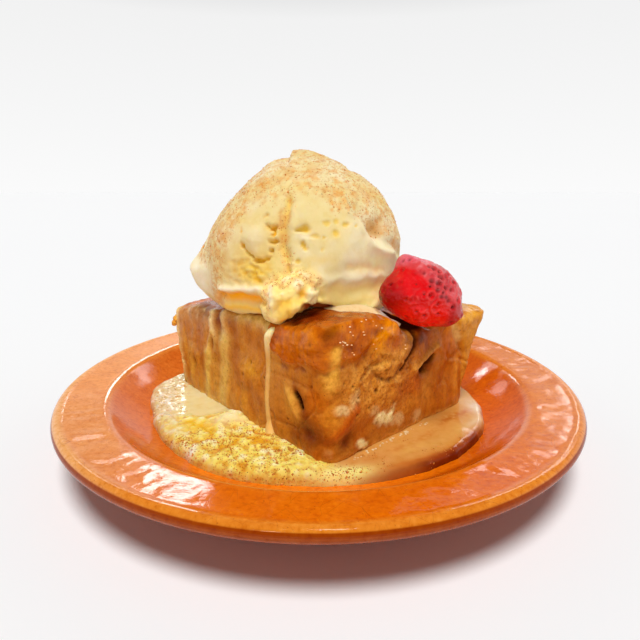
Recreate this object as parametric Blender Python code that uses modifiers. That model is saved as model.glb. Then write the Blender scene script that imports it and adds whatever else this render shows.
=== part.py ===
"""A square of bread pudding in a pool of melted cream on a round glazed plate.

It carries a scoop of vanilla ice cream and half a strawberry.
Metres, +Z up. The origin is the middle of the plate's foot, on the table, and -Y is the front.
"""

import math

import bmesh
import bpy
from mathutils import Matrix, Vector, noise

MM = 0.001
GAP = 0.3 * MM  # clearance between two pieces that touch

# Plate
PLATE_RADIUS = 92 * MM
PLATE_HEIGHT = 20 * MM
PLATE_STEPS = 64
FLOOR_RADIUS = 57 * MM
FLOOR_HEIGHT = 9 * MM
WELL_RADIUS = 74.4 * MM
WELL_HEIGHT = 17.7 * MM
WELL_CURVE = 1.9  # power of the wall's rise from the floor to the well's edge
LIP_RADIUS = 2.2 * MM
FOOT_RADIUS = 53 * MM
FOOT_WIDTH = 4 * MM
FOOT_HEIGHT = 2.6 * MM

# Pudding: the corners of its footprint, in the order front, right, back, left
PUDDING_BASE = FLOOR_HEIGHT + GAP
PUDDING_CORNERS = [(1.7, -56.3), (54.2, -9.0), (-4.0, 54.0), (-56.8, 11.3)]
PUDDING_TOPS = [54.5, 48.0, 47.0, 45.5]
PUDDING_CELLS = 14
PUDDING_EDGE = 4.4 * MM
CHUNK_SIZE = 17 * MM  # the soaked bread cubes
CHUNK_CREASE = 1.3 * MM
SLAB_LEAN = 12.0 * MM  # how far the upright slice at the right corner leans out
LEFT_LEAN = 2.2 * MM  # the same of the left corner

# Ice cream
SCOOP_CENTRE = Vector((-6.6, -3.0, 67.6)) * MM
SCOOP_RADIUS = 34.6 * MM
SCOOP_HALF_HEIGHT = 33.0 * MM
SCOOP_VOXEL = 4.2 * MM

# Strawberry half
BERRY_CENTRE = Vector((32.2, -27.1, 57.0)) * MM
BERRY_RADIUS = 10.5 * MM  # of its outline, seen square to its cut face
BERRY_DEPTH = 9.8 * MM
BERRY_SKIN_WAY = Vector((0.20, -0.80, 0.36))  # the way its round side faces
BERRY_CORNERS = [  # degrees from its right-hand side, reach and width: shoulder, back, hulled end, foot, tip
    (114, 0.29, 14.5),
    (68, -0.06, 32),
    (0, 0.15, 15),
    (-41, 0.42, 25),
    (-179, 0.34, 29),
]

# Cream pool
POOL_RADIUS = 59.9 * MM
POOL_LEVEL = 12.3 * MM
POOL_STEPS = 60
MOUND_CENTRE = (-22.0 * MM, -32.0 * MM)
MOUND_SIZE = (15.0 * MM, 9.0 * MM)  # along and across the pudding's left face
MOUND_RISE = 4.2 * MM


def millimetres(*values):
    return tuple(value * MM for value in values)


def clear_scene():
    for thing in list(bpy.data.objects):
        bpy.data.objects.remove(thing, do_unlink=True)


def new_collection(name):
    made = bpy.data.collections.new(name)
    bpy.context.scene.collection.children.link(made)
    return made


def material(name, colour, roughness):
    made = bpy.data.materials.new(name)
    made.use_nodes = True
    shader = made.node_tree.nodes["Principled BSDF"]
    shader.inputs["Base Color"].default_value = (*colour, 1.0)
    shader.inputs["Roughness"].default_value = roughness
    shader.inputs["Metallic"].default_value = 0.0
    return made


def add_object(name, mesh, collection, finish=None):
    made = bpy.data.objects.new(name, mesh)
    collection.objects.link(made)
    if finish:
        made.data.materials.append(finish)
    return made


def mesh_from(work, name):
    """The bmesh as a smooth-shaded mesh, with sharp edges kept where it folds."""
    made = bpy.data.meshes.new(name)
    bmesh.ops.recalc_face_normals(work, faces=work.faces)
    work.to_mesh(made)
    work.free()
    made.shade_smooth()
    made.set_sharp_from_angle(angle=math.radians(50))
    return made


def ease(x):
    """0 below 0, 1 above 1, smooth between."""
    x = min(1.0, max(0.0, x))
    return x * x * (3 - 2 * x)


def bell(distance, width):
    return math.exp(-((distance / width) ** 2))


# ---------------------------------------------------------------- plate


def plate_top(radius):
    """Height of the plate's upper face between its middle and the well's edge."""
    if radius <= FLOOR_RADIUS:
        return FLOOR_HEIGHT
    rise = (radius - FLOOR_RADIUS) / (WELL_RADIUS - FLOOR_RADIUS)
    return FLOOR_HEIGHT + (WELL_HEIGHT - FLOOR_HEIGHT) * rise**WELL_CURVE


def plate_profile():
    """Half of the plate's section as (radius, height), from its middle over the lip to the foot."""
    points = [(0.0, FLOOR_HEIGHT), (FLOOR_RADIUS, FLOOR_HEIGHT)]
    for step in range(1, 7):
        radius = FLOOR_RADIUS + (WELL_RADIUS - FLOOR_RADIUS) * step / 6
        points.append((radius, plate_top(radius)))
    lip = (PLATE_RADIUS - LIP_RADIUS, PLATE_HEIGHT - LIP_RADIUS)
    points.append((WELL_RADIUS + 1.6 * MM, WELL_HEIGHT + 0.5 * MM))
    points.append((lip[0] - 2.5 * MM, PLATE_HEIGHT - 0.5 * MM))
    for degrees in (90, 54, 18, -18, -54, -90):
        turn = math.radians(degrees)
        points.append((lip[0] + LIP_RADIUS * math.cos(turn), lip[1] + LIP_RADIUS * math.sin(turn)))
    points.append((FOOT_RADIUS + 5 * MM, FOOT_HEIGHT + 1.6 * MM))
    points.append((FOOT_RADIUS + 0.6 * MM, FOOT_HEIGHT - 0.6 * MM))
    points.append((FOOT_RADIUS, 0.0))
    points.append((FOOT_RADIUS - FOOT_WIDTH, 0.0))
    points.append((FOOT_RADIUS - FOOT_WIDTH - 1 * MM, FOOT_HEIGHT))
    points.append((0.0, FOOT_HEIGHT))
    return points


def turned(name, profile, steps, collection, finish=None):
    """A closed solid turned about +Z from its half section."""
    mesh = bpy.data.meshes.new(name)
    corners = [(radius, 0.0, height) for radius, height in profile]
    edges = [(i, i + 1) for i in range(len(corners) - 1)]
    mesh.from_pydata(corners, edges, [])
    made = add_object(name, mesh, collection, finish)
    screw = made.modifiers.new("turn", "SCREW")
    screw.axis = "Z"
    screw.steps = steps
    screw.render_steps = steps
    screw.use_merge_vertices = True
    screw.merge_threshold = 0.00001
    screw.use_smooth_shade = True
    return made


def make_plate(collection):
    finish = material("orange_glaze", (0.75, 0.23, 0.05), 0.12)
    return turned("plate", plate_profile(), PLATE_STEPS, collection, finish)


# ---------------------------------------------------------------- bread pudding


def footprint(across, along, height):
    """A point of the pudding: across runs front to right corner, along front to left, height base to top."""
    front, right, back, left = [Vector((x, y, 0)) * MM for x, y in PUDDING_CORNERS]
    near = front.lerp(right, across)
    far = left.lerp(back, across)
    point = near.lerp(far, along)
    tops = [top * MM for top in PUDDING_TOPS]
    near_top = tops[0] + (tops[1] - tops[0]) * across
    far_top = tops[3] + (tops[2] - tops[3]) * across
    top = near_top + (far_top - near_top) * along
    point.z = PUDDING_BASE + (top - PUDDING_BASE) * height
    return point


def rounded_corner(point, half, radius):
    """The point of a box surface moved onto the same box with rounded edges."""
    inner = Vector([min(h - radius, max(radius - h, c)) for c, h in zip(point, half)])
    out = point - inner
    return inner + out.normalized() * radius if out.length > 0 else point


def crumb_relief(place, on_top):
    """How far the surface of the soaked bread stands out at a place, in metres."""
    spots = noise.voronoi(place / CHUNK_SIZE)[0]
    crease = bell(spots[1] - spots[0], 0.16)
    lumps = noise.noise(place / (11 * MM))
    swell = noise.noise(place / (26 * MM) + Vector((3, 5, 7)))
    sides = 0.6 * MM * lumps + 1.0 * MM * swell - 0.7 * CHUNK_CREASE * crease
    puffed = 1.4 * MM * lumps + 1.8 * MM * swell - CHUNK_CREASE * crease
    return sides + (puffed - sides) * on_top


def pudding_features(across, along, height, place):
    """The moves of the places that the crust is named by: its dips, its slab and its worn corner."""
    move = Vector((0, 0, 0))
    high = ease((height - 0.45) / 0.55)
    berry_dip = bell(math.hypot(across - 0.64, along - 0.04), 0.22)
    hollow = bell(math.hypot(across - 0.47, along + 0.02), 0.10)
    move.z -= high * (4.5 * MM * berry_dip + 4.0 * MM * hollow)
    slab = ease((across - 0.78) / 0.14) * ease((0.30 - along) / 0.16)
    move += Vector((0.80, 0.60, 0)) * SLAB_LEAN * slab * height**1.6
    move += Vector((-0.98, 0.20, 0)) * LEFT_LEAN * ease((along - 0.7) / 0.3) * (1 - across) * height
    left_wear = bell(math.hypot(across, along - 1.0), 0.16)
    move.z -= high * left_wear * 1.2 * MM
    front_puff = bell(math.hypot(across - 0.10, along - 0.06), 0.22)
    move.z += high * front_puff * 1.8 * MM
    return move


def make_pudding(collection):
    """A cut square of soaked bread: a rounded block with puffed lumps, creases and a leaning slice."""
    half = Vector((34.8, 43.6, 20.0)) * MM
    work = bmesh.new()
    bmesh.ops.create_cube(work, size=2.0)
    bmesh.ops.subdivide_edges(work, edges=work.edges, cuts=PUDDING_CELLS - 1, use_grid_fill=True)
    for vertex in work.verts:
        spread = Vector([math.copysign(abs(c) ** 0.86, c) for c in vertex.co])
        flat = Vector([c * h for c, h in zip(spread, half)])
        soft = rounded_corner(flat, half, PUDDING_EDGE)
        share = [0.5 + 0.5 * c / h for c, h in zip(soft, half)]
        out = (flat - Vector([c * 0.8 for c in soft])).normalized()
        on_top = ease((out.z - 0.35) / 0.5)
        off_base = ease(share[2] / 0.12)
        place = footprint(*share)
        frame_turn = Matrix.Rotation(math.atan2(46.5, 51.8), 3, "Z")
        normal = frame_turn @ out
        place += normal * crumb_relief(place, on_top) * off_base
        place += pudding_features(*share, place)
        vertex.co = place
    bmesh.ops.triangulate(work, faces=work.faces)
    finish = material("baked_custard_bread", (0.56, 0.27, 0.07), 0.45)
    return add_object("bread_pudding", mesh_from(work, "bread_pudding"), collection, finish)


# ---------------------------------------------------------------- ice cream


def scoop_shape(way):
    """The scoop's radius in a direction, as a share of its ball: lopsided, with a low peak."""
    dents = [
        (Vector((-0.62, -0.15, 0.77)), -0.150, 0.42),
        (Vector((-0.88, -0.20, 0.42)), -0.090, 0.36),
        (Vector((0.46, -0.10, 0.88)), -0.035, 0.26),
        (Vector((1.00, 0.00, 0.00)), 0.030, 0.50),
        (Vector((0.04, 0.00, 1.00)), 0.045, 0.30),
        (Vector((0.70, 0.00, 0.55)), 0.020, 0.35),
        (Vector((-0.35, -0.92, 0.10)), -0.060, 0.34),
        (Vector((-0.30, 0.80, 0.40)), -0.040, 0.45),
        (Vector((0.50, 0.75, 0.10)), 0.030, 0.45),
    ]
    share = 1.0
    for centre, amount, width in dents:
        share += amount * bell(way.angle(centre), width)
    return share + 0.022 * noise.noise(way * 2.6)


def blob(work, centre, radii, turn=0.0, shape=None):
    """Adds a ball stretched to its radii and turned about +Z, which may be lopsided."""
    made = bmesh.ops.create_icosphere(work, subdivisions=3, radius=1.0)
    for vertex in made["verts"]:
        share = shape(vertex.co.normalized()) if shape else 1.0
        stretched = Vector([c * r * share for c, r in zip(vertex.co, radii)])
        vertex.co = Matrix.Rotation(turn, 3, "Z") @ stretched + centre


def make_ice_cream(collection, cutter):
    """A melting scoop: ball, spread collar, side lobe and the broken lump at its front."""
    work = bmesh.new()
    radii = (SCOOP_RADIUS, SCOOP_RADIUS, SCOOP_HALF_HEIGHT)
    blob(work, SCOOP_CENTRE, radii, shape=scoop_shape)
    blob(work, Vector(millimetres(-8, -4, 55.5)), millimetres(33.0, 29.5, 11.5))
    blob(work, Vector(millimetres(-39.6, -5, 60.4)), millimetres(6.6, 7.5, 7.5))
    blob(work, Vector(millimetres(-7.6, -38.5, 58.2)), millimetres(9.6, 7.0, 5.6), 0.15)
    blob(work, Vector(millimetres(-14.2, -37.6, 54.4)), millimetres(4.8, 5.0, 5.4), 0.4)
    blob(work, Vector(millimetres(14.0, -20.0, 52.6)), millimetres(12.0, 7.5, 4.6), 0.7)
    finish = material("vanilla_ice_cream", (0.93, 0.80, 0.50), 0.40)
    made = add_object("ice_cream", mesh_from(work, "ice_cream"), collection, finish)
    fuse = made.modifiers.new("fuse", "REMESH")
    fuse.mode = "VOXEL"
    fuse.voxel_size = SCOOP_VOXEL
    fuse.use_smooth_shade = True
    soften = made.modifiers.new("soften", "SMOOTH")
    soften.factor = 0.5
    soften.iterations = 2
    cut_away(made, cutter)
    return made


# ---------------------------------------------------------------- strawberry


def berry_frame():
    """The berry's axes: to its right, upwards along its cut face, and out of its round side."""
    skin = BERRY_SKIN_WAY.normalized()
    right = Vector((0, 0, 1)).cross(skin).normalized()
    return Matrix((right, skin.cross(right), skin)).transposed()


def berry_outline(angle):
    """The reach of the berry's outline at an angle, in degrees, from its right-hand side."""
    share = 1.0
    for centre, amount, width in BERRY_CORNERS:
        share += amount * bell((angle - centre + 180) % 360 - 180, width)
    return BERRY_RADIUS * share


def make_strawberry(collection, cutters):
    """Half a hulled strawberry, its round side out and its cut face against the scoop."""
    work = bmesh.new()
    bmesh.ops.create_icosphere(work, subdivisions=4, radius=1.0)
    everything = work.verts[:] + work.edges[:] + work.faces[:]
    cut = bmesh.ops.bisect_plane(
        work, geom=everything, plane_co=(0, 0, -0.22), plane_no=(0, 0, -1), clear_outer=True
    )
    rim = [part for part in cut["geom_cut"] if isinstance(part, bmesh.types.BMEdge)]
    bmesh.ops.edgeloop_fill(work, edges=rim)
    bmesh.ops.triangulate(work, faces=work.faces)
    placed = berry_frame()
    for vertex in work.verts:
        reach = berry_outline(math.degrees(math.atan2(vertex.co.y, vertex.co.x)))
        local = Vector((vertex.co.x * reach, vertex.co.y * reach, vertex.co.z * BERRY_DEPTH))
        vertex.co = placed @ local + BERRY_CENTRE
    finish = material("strawberry_skin", (0.62, 0.01, 0.02), 0.25)
    made = add_object("strawberry", mesh_from(work, "strawberry"), collection, finish)
    for cutter in cutters:
        cut_away(made, cutter)
    return made


# ---------------------------------------------------------------- melted cream


def pool_profile():
    """Half section of the pool as (radius, height), its rounded edge standing on the plate's wall."""
    edge = 2.4 * MM
    points = [(0.0, POOL_LEVEL), (30 * MM, POOL_LEVEL), (46 * MM, POOL_LEVEL), (54 * MM, POOL_LEVEL)]
    for degrees in (90, 60, 30, 0):
        turn = math.radians(degrees)
        points.append((POOL_RADIUS - edge + edge * math.cos(turn), POOL_LEVEL - edge + edge * math.sin(turn)))
    points.append((POOL_RADIUS, FLOOR_HEIGHT - 1.5 * MM))
    points.append((0.0, FLOOR_HEIGHT - 1.5 * MM))
    return points


def pool_spread(angle):
    """How far the pool runs out in a direction, in degrees from +X, as a share of its radius."""
    share = 1.0
    for centre, amount, width in [(175, 0.085, 15), (240, 0.014, 14), (275, -0.028, 16), (327, 0.020, 22), (8, -0.04, 13)]:
        share += amount * bell((angle - centre + 180) % 360 - 180, width)
    return share


def foam_rise(x, y):
    """How much the frothy side of the pool, at the front left, stands above its level."""
    angle = math.degrees(math.atan2(y, x)) % 360
    sector = ease((angle - 165) / 25) * ease((268 - angle) / 26)
    band = ease((math.hypot(x, y) / MM - 40) / 8)
    froth = 1.3 * MM * sector * band
    left_face_way = math.atan2(11.1 + 55.5, -54.8 - 1.7)
    dx, dy = x - MOUND_CENTRE[0], y - MOUND_CENTRE[1]
    along = dx * math.cos(left_face_way) + dy * math.sin(left_face_way)
    across = -dx * math.sin(left_face_way) + dy * math.cos(left_face_way)
    mound = math.exp(-((along / MOUND_SIZE[0]) ** 2) - (across / MOUND_SIZE[1]) ** 2)
    return froth + MOUND_RISE * mound


def make_pool(collection, cutters):
    """Melted ice cream that fills the well: a turned disc with its froth raised, cut by plate and pudding."""
    blank = turned("pool_blank", pool_profile(), POOL_STEPS, collection)
    evaluated = blank.evaluated_get(bpy.context.evaluated_depsgraph_get())
    mesh = bpy.data.meshes.new_from_object(evaluated)
    bpy.data.objects.remove(blank)
    mesh.name = "cream_pool"
    for vertex in mesh.vertices:
        x, y, z = vertex.co
        if z < FLOOR_HEIGHT:
            lift = 0.0
        else:
            lift = foam_rise(x, y) * ease((z - FLOOR_HEIGHT) / (POOL_LEVEL - FLOOR_HEIGHT))
        spill = pool_spread(math.degrees(math.atan2(y, x)))
        vertex.co = Vector((x * spill, y * spill, z + lift))
    finish = material("melted_cream", (0.85, 0.62, 0.30), 0.2)
    made = add_object("cream_pool", mesh, collection, finish)
    for cutter in cutters:
        cut_away(made, cutter)
    return made


# ---------------------------------------------------------------- fitting pieces to each other


def swollen(piece, collection):
    """A hidden copy of a piece, a gap larger all round, that cuts its neighbours clear of it."""
    made = bpy.data.objects.new(piece.name + "_cutter", piece.data)
    for source in piece.modifiers:
        if source.type != "SCREW":
            continue
        copied = made.modifiers.new(source.name, source.type)
        copied.axis = source.axis
        copied.steps = source.steps
        copied.render_steps = source.render_steps
        copied.use_merge_vertices = True
        copied.merge_threshold = source.merge_threshold
    collection.objects.link(made)
    grow = made.modifiers.new("grow", "DISPLACE")
    grow.strength = GAP
    grow.mid_level = 0.0
    made.hide_render = True
    made.display_type = "WIRE"
    return made


def swollen_result(piece, collection):
    """As swollen, for a piece that its own modifiers shape."""
    evaluated = piece.evaluated_get(bpy.context.evaluated_depsgraph_get())
    mesh = bpy.data.meshes.new_from_object(evaluated)
    made = bpy.data.objects.new(piece.name + "_cutter", mesh)
    collection.objects.link(made)
    grow = made.modifiers.new("grow", "DISPLACE")
    grow.strength = GAP
    grow.mid_level = 0.0
    made.hide_render = True
    made.display_type = "WIRE"
    return made


def cut_away(piece, cutter):
    cut = piece.modifiers.new("clear_of_" + cutter.name, "BOOLEAN")
    cut.operation = "DIFFERENCE"
    cut.solver = "EXACT"
    cut.object = cutter


def main():
    clear_scene()
    parts = new_collection("bread_pudding_dessert")
    cutters = new_collection("cutters")
    plate = make_plate(parts)
    pudding = make_pudding(parts)
    bpy.context.view_layer.update()
    plate_cutter = swollen_result(plate, cutters)
    pudding_cutter = swollen_result(pudding, cutters)
    ice_cream = make_ice_cream(parts, pudding_cutter)
    bpy.context.view_layer.update()
    ice_cream_cutter = swollen_result(ice_cream, cutters)
    make_strawberry(parts, [pudding_cutter, ice_cream_cutter])
    make_pool(parts, [plate_cutter, pudding_cutter])


main()
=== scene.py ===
"""The looks of the bread pudding dessert: glazed plate, soaked bread, melting scoop, half a strawberry, cream.

Lengths in the shapes below are millimetres, in the row's frame: +Z up, -Y the front.
"""

import itertools
import math

import bmesh
import bpy
import numpy as np
from mathutils import Matrix, Vector
from mathutils.bvhtree import BVHTree


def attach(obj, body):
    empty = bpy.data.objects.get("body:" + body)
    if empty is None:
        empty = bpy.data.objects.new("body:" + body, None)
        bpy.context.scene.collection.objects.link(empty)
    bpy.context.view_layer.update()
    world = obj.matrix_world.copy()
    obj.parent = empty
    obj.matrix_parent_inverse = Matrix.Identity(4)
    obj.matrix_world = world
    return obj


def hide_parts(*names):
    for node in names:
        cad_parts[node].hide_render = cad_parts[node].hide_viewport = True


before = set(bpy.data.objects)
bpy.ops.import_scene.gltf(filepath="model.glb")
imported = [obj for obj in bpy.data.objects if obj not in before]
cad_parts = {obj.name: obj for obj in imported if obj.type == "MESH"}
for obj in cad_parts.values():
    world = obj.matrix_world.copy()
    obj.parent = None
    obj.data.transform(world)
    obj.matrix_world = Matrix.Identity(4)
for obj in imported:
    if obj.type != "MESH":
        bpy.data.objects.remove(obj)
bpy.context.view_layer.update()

MM = 0.001
SUN_POWER = 2.62  # watts a square metre
FILL_RADIANCE = 1.6
RNG = np.random.default_rng(20)
DOWN = Vector((0, 0, -1))
OUTSIDE = 60.0  # rays that start this far out meet the piece from outside
CLEAR = 15.0  # the same, in front of a face of the pudding

# Camera
LENS = 28.125
SENSOR = 36.0
CAMERA_PLACE = (0.0, -0.18072, 0.08876)  # metres
CAMERA_WAY = (0.00228, 0.96674, -0.25575)

# Plate
PLATE_RADIUS = 91.9
PLATE_HEIGHT = 20.0
FLOOR_RADIUS = 57.0
FLOOR_HEIGHT = 9.0
WELL_RADIUS = 74.4
WELL_HEIGHT = 17.7
WELL_CURVE = 1.9
LIP = 2.2
FOOT_RADIUS = 53.0
BROW_SLOPE = 40.0  # degrees
RIM_SLOPE = 5.0
ROLL = 2.1  # how far in from the lip the rim begins to rise to it
RIPPLE = 0.22

# Pudding: its front, right and left corners on the plate, the ways along its two faces and out of them
FRONT = np.array([1.7, -56.3])
RIGHT = np.array([54.2, -9.0])
LEFT = np.array([-56.8, 11.3])
RIGHT_WAY = (RIGHT - FRONT) / np.linalg.norm(RIGHT - FRONT)
LEFT_WAY = (LEFT - FRONT) / np.linalg.norm(LEFT - FRONT)
RIGHT_OUT = np.array([RIGHT_WAY[1], -RIGHT_WAY[0]])
LEFT_OUT = np.array([-abs(LEFT_WAY[1]), -abs(LEFT_WAY[0])])

SCOOP = np.array([-6.6, -3.0, 67.6])
BERRY = np.array([32.2, -27.1, 57.0])
POOL_RADIUS = 59.9
POOL_LEVEL = 12.3

# Numbers


def ease(x):
    x = np.clip(x, 0.0, 1.0)
    return x * x * (3 - 2 * x)


def bell(distance, width):
    return np.exp(-((distance / width) ** 2))


def spot(a, b, centre, radii, turn=0.0):
    """An oval bell on a face with coordinates a and b, turned by degrees."""
    c, s = math.cos(math.radians(turn)), math.sin(math.radians(turn))
    da, db = a - centre[0], b - centre[1]
    return np.exp(-(((da * c + db * s) / radii[0]) ** 2) - ((-da * s + db * c) / radii[1]) ** 2)


def along_path(a, b, path):
    """Each point's distance to a path on a face, its share of the way along it, and its side of it."""
    best, share, side = np.full(len(a), 1e9), np.zeros(len(a)), np.zeros(len(a))
    for i, (p, q) in enumerate(zip(path, path[1:])):
        d = np.array(q, float) - p
        t = np.clip(((a - p[0]) * d[0] + (b - p[1]) * d[1]) / (d @ d), 0, 1)
        away_a, away_b = a - p[0] - t * d[0], b - p[1] - t * d[1]
        away = np.hypot(away_a, away_b)
        near = away < best
        best = np.where(near, away, best)
        share = np.where(near, (i + t) / (len(path) - 1), share)
        side = np.where(near, np.sign(d[0] * away_b - d[1] * away_a), side)
    return best, share, side


def lattice(cell, seed):
    """A repeatable number from 0 to 1 for each lattice point."""
    i, j, k = cell.T
    n = (i * 73856093) ^ (j * 19349663) ^ (k * 83492791) ^ (seed * 265443576)
    n = n & 0xFFFFFFFF
    for _ in range(2):
        n = ((n ^ (n >> 16)) * 0x45D9F3B) & 0xFFFFFFFF
    return ((n ^ (n >> 16)) & 0xFFFFFF) / 0xFFFFFF


def single_noise(points, size, seed):
    q = points / size
    base = np.floor(q).astype(np.int64)
    f = q - base
    f = f * f * f * (f * (f * 6 - 15) + 10)
    total = np.zeros(len(points))
    for corner in itertools.product((0, 1), repeat=3):
        weight = np.ones(len(points))
        for axis, c in enumerate(corner):
            weight = weight * (f[:, axis] if c else 1 - f[:, axis])
        total += weight * lattice(base + np.array(corner), seed)
    return total * 2 - 1


TURN = np.array(Matrix.Rotation(0.7, 3, "X") @ Matrix.Rotation(1.1, 3, "Y") @ Matrix.Rotation(0.4, 3, "Z"))


def rough(points, size, octaves=3, seed=0):
    """Smooth noise from about -1 to 1, its largest lumps of the given size."""
    total = np.zeros(len(points))
    share, norm, q = 1.0, 0.0, points
    for octave in range(octaves):
        q = q @ TURN.T + 3.7
        total += share * single_noise(q, size, seed + 17 * octave)
        norm += share
        share *= 0.5
        size *= 0.49
    return total / norm


def rough_along(values, size, octaves, seed):
    """The same noise along a line."""
    return rough(np.stack([values, 0 * values, 0 * values], 1), size, octaves, seed)


def cells(points, size, seed=0):
    """Distances to the nearest and second nearest scattered point, in cell sizes, and the nearest's own number."""
    q = points / size
    base = np.floor(q).astype(np.int64)
    first, second, owner = np.full(len(q), 9.0), np.full(len(q), 9.0), np.zeros(len(q))
    for step in itertools.product((-1, 0, 1), repeat=3):
        cell = base + np.array(step)
        place = cell + np.stack([lattice(cell, seed + a) for a in (1, 2, 3)], 1)
        away = np.sqrt(((place - q) ** 2).sum(1))
        nearer = away < first
        second = np.where(nearer, first, np.minimum(second, away))
        owner = np.where(nearer, lattice(cell, seed + 9), owner)
        first = np.where(nearer, away, first)
    return first, second, owner


# Meshes


def add(name, mesh):
    made = bpy.data.objects.new(name, mesh)
    bpy.context.scene.collection.objects.link(made)
    return made


def from_lists(name, points, faces):
    """A smooth mesh object from points in millimetres."""
    mesh = bpy.data.meshes.new(name)
    mesh.from_pydata([tuple(p) for p in np.asarray(points) * MM], [], faces)
    mesh.validate()
    mesh.shade_smooth()
    return add(name, mesh)


def from_work(name, work):
    mesh = bpy.data.meshes.new(name)
    work.to_mesh(mesh)
    work.free()
    mesh.shade_smooth()
    return add(name, mesh)


def band(low, high, steps):
    """Faces between two rings of points, which begin at low and at high."""
    return [(low + k, high + k, high + (k + 1) % steps, low + (k + 1) % steps) for k in range(steps)]


def places(obj):
    co = np.empty(len(obj.data.vertices) * 3)
    obj.data.vertices.foreach_get("co", co)
    return co.reshape(-1, 3) / MM


def put(obj, points):
    obj.data.vertices.foreach_set("co", (np.asarray(points) * MM).ravel())
    obj.data.update()


def normals(obj):
    obj.data.update()
    out = np.empty(len(obj.data.vertices) * 3)
    obj.data.vertex_normals.foreach_get("vector", out)
    return out.reshape(-1, 3)


def surface_of(obj):
    """A function that sends a ray at the object and gives the place and the normal where it lands, or None twice."""
    tree = BVHTree.FromPolygons([Vector(q) for q in places(obj)], [tuple(f.vertices) for f in obj.data.polygons])
    return lambda start, way: tree.ray_cast(Vector(start), Vector(way))[:2]


def note(obj, **values):
    """Stores values from 0 to 1 at each vertex, for the material."""
    for name, each in values.items():
        kept = obj.data.attributes.new(name, "FLOAT", "POINT")
        kept.data.foreach_set("value", np.clip(each, 0, 1).astype(np.float32))


def fine_copy(node, name, voxel, passes):
    """A new object over a CAD node's solid, finely and evenly meshed and softened."""
    made = add(name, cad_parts[node].data.copy())
    made.data.materials.clear()
    remesh = made.modifiers.new("fine", "REMESH")
    remesh.mode = "VOXEL"
    remesh.voxel_size = voxel * MM
    soft = made.modifiers.new("soft", "SMOOTH")
    soft.factor = 0.5
    soft.iterations = passes
    evaluated = made.evaluated_get(bpy.context.evaluated_depsgraph_get())
    mesh = bpy.data.meshes.new_from_object(evaluated)
    made.modifiers.clear()
    made.data = mesh
    mesh.shade_smooth()
    return made


def finish_piece(obj, look, node_slot, *nodes):
    obj.data.materials.clear()
    obj.data.materials.append(look)
    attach(obj, "root")
    if nodes:
        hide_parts(*nodes)


# Materials


class Nodes:
    """Short ways to add nodes to a tree."""

    def __init__(self, tree):
        self.tree = tree

    def feed(self, socket, value):
        if isinstance(value, bpy.types.NodeSocket):
            self.tree.links.new(value, socket)
        elif socket.type == "RGBA":
            socket.default_value = (*value, 1.0)
        else:
            socket.default_value = value

    def fill(self, node, sockets):
        for key, value in sockets.items():
            self.feed(node.inputs[key.replace("_", " ")], value)
        return node

    def node(self, kind, **sockets):
        return self.fill(self.tree.nodes.new("ShaderNode" + kind), sockets)

    def maths(self, operation, a, b):
        made = self.node("Math")
        made.operation = operation
        self.feed(made.inputs[0], a)
        self.feed(made.inputs[1], b)
        return made.outputs[0]

    def times(self, a, b):
        return self.maths("MULTIPLY", a, b)

    def plus(self, a, b):
        return self.maths("ADD", a, b)


class Look(Nodes):
    """A Principled material, with short ways to make its patterns. Sizes are in millimetres."""

    def __init__(self, name):
        self.material = bpy.data.materials.new(name)
        self.material.use_nodes = True
        super().__init__(self.material.node_tree)
        self.place = self.node("NewGeometry").outputs["Position"]

    def wear(self, **sockets):
        self.fill(self.tree.nodes["Principled BSDF"], sockets)
        return self.material

    def value(self, name, output="Fac"):
        made = self.node("Attribute")
        made.attribute_name = name
        return made.outputs[output]

    def painted(self):
        return self.value("paint", "Color")

    def noise(self, size, detail=3.0, roughness=0.55):
        made = self.node("TexNoise", Scale=1.0 / (size * MM), Detail=detail, Roughness=roughness, Vector=self.place)
        return made.outputs["Fac"]

    def cells(self, size, feature="F1", output="Distance"):
        made = self.node("TexVoronoi", Scale=1.0 / (size * MM), Vector=self.place)
        made.feature = feature
        return made.outputs[output]

    def between(self, value, low, high, to_low=0.0, to_high=1.0):
        """The value's place between low and high, eased, as to_low to to_high."""
        made = self.node("MapRange", Value=value, From_Min=low, From_Max=high, To_Min=to_low, To_Max=to_high)
        made.interpolation_type = "SMOOTHSTEP"
        return made.outputs["Result"]

    def mix(self, share, a, b, blend="MIX"):
        made = self.node("Mix")
        made.data_type, made.blend_type, made.clamp_factor = "RGBA", blend, True
        for socket, value in zip((0, 6, 7), (share, a, b)):
            self.feed(made.inputs[socket], value)
        return made.outputs[2]

    def mottled(self, body, size, dark, light, detail=3.0):
        """The colour made darker and lighter in clouds; dark and light are factors for red, green and blue."""
        cloud = self.noise(size, detail, 0.6)
        low = self.mix(self.between(cloud, 0.30, 0.50, 1.0, 0.0), body, self.mix(1.0, body, dark, "MULTIPLY"))
        return self.mix(self.between(cloud, 0.50, 0.70), low, self.mix(1.0, low, light, "MULTIPLY"))

    def cloudy(self, size, dark, light):
        """One colour with clouds of another."""
        return self.mix(self.between(self.noise(size, 2), 0.4, 0.6), dark, light)

    def specks(self, body, size, reach, colour, amount, chosen=0.5):
        """Small dark grains of one size, where amount says and only in a share of the places."""
        grain = self.between(self.cells(size), reach * 0.55, reach, 1.0, 0.0)
        picked = self.between(self.cells(size, output="Color"), 1.0 - chosen - 0.04, 1.0 - chosen + 0.04)
        return self.mix(self.times(self.times(grain, picked), amount), body, srgb(*colour))

    def bump(self, height, distance, strength=1.0, under=None):
        made = self.node("Bump", Strength=strength, Distance=distance * MM, Height=height)
        if under is not None:
            self.feed(made.inputs["Normal"], under)
        return made.outputs["Normal"]


def srgb(red, green, blue):
    """A colour given as it looks, 0 to 255, as the shader wants it."""
    parts = [part / 255 for part in (red, green, blue)]
    return tuple(part / 12.92 if part <= 0.04045 else ((part + 0.055) / 1.055) ** 2.4 for part in parts)


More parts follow.
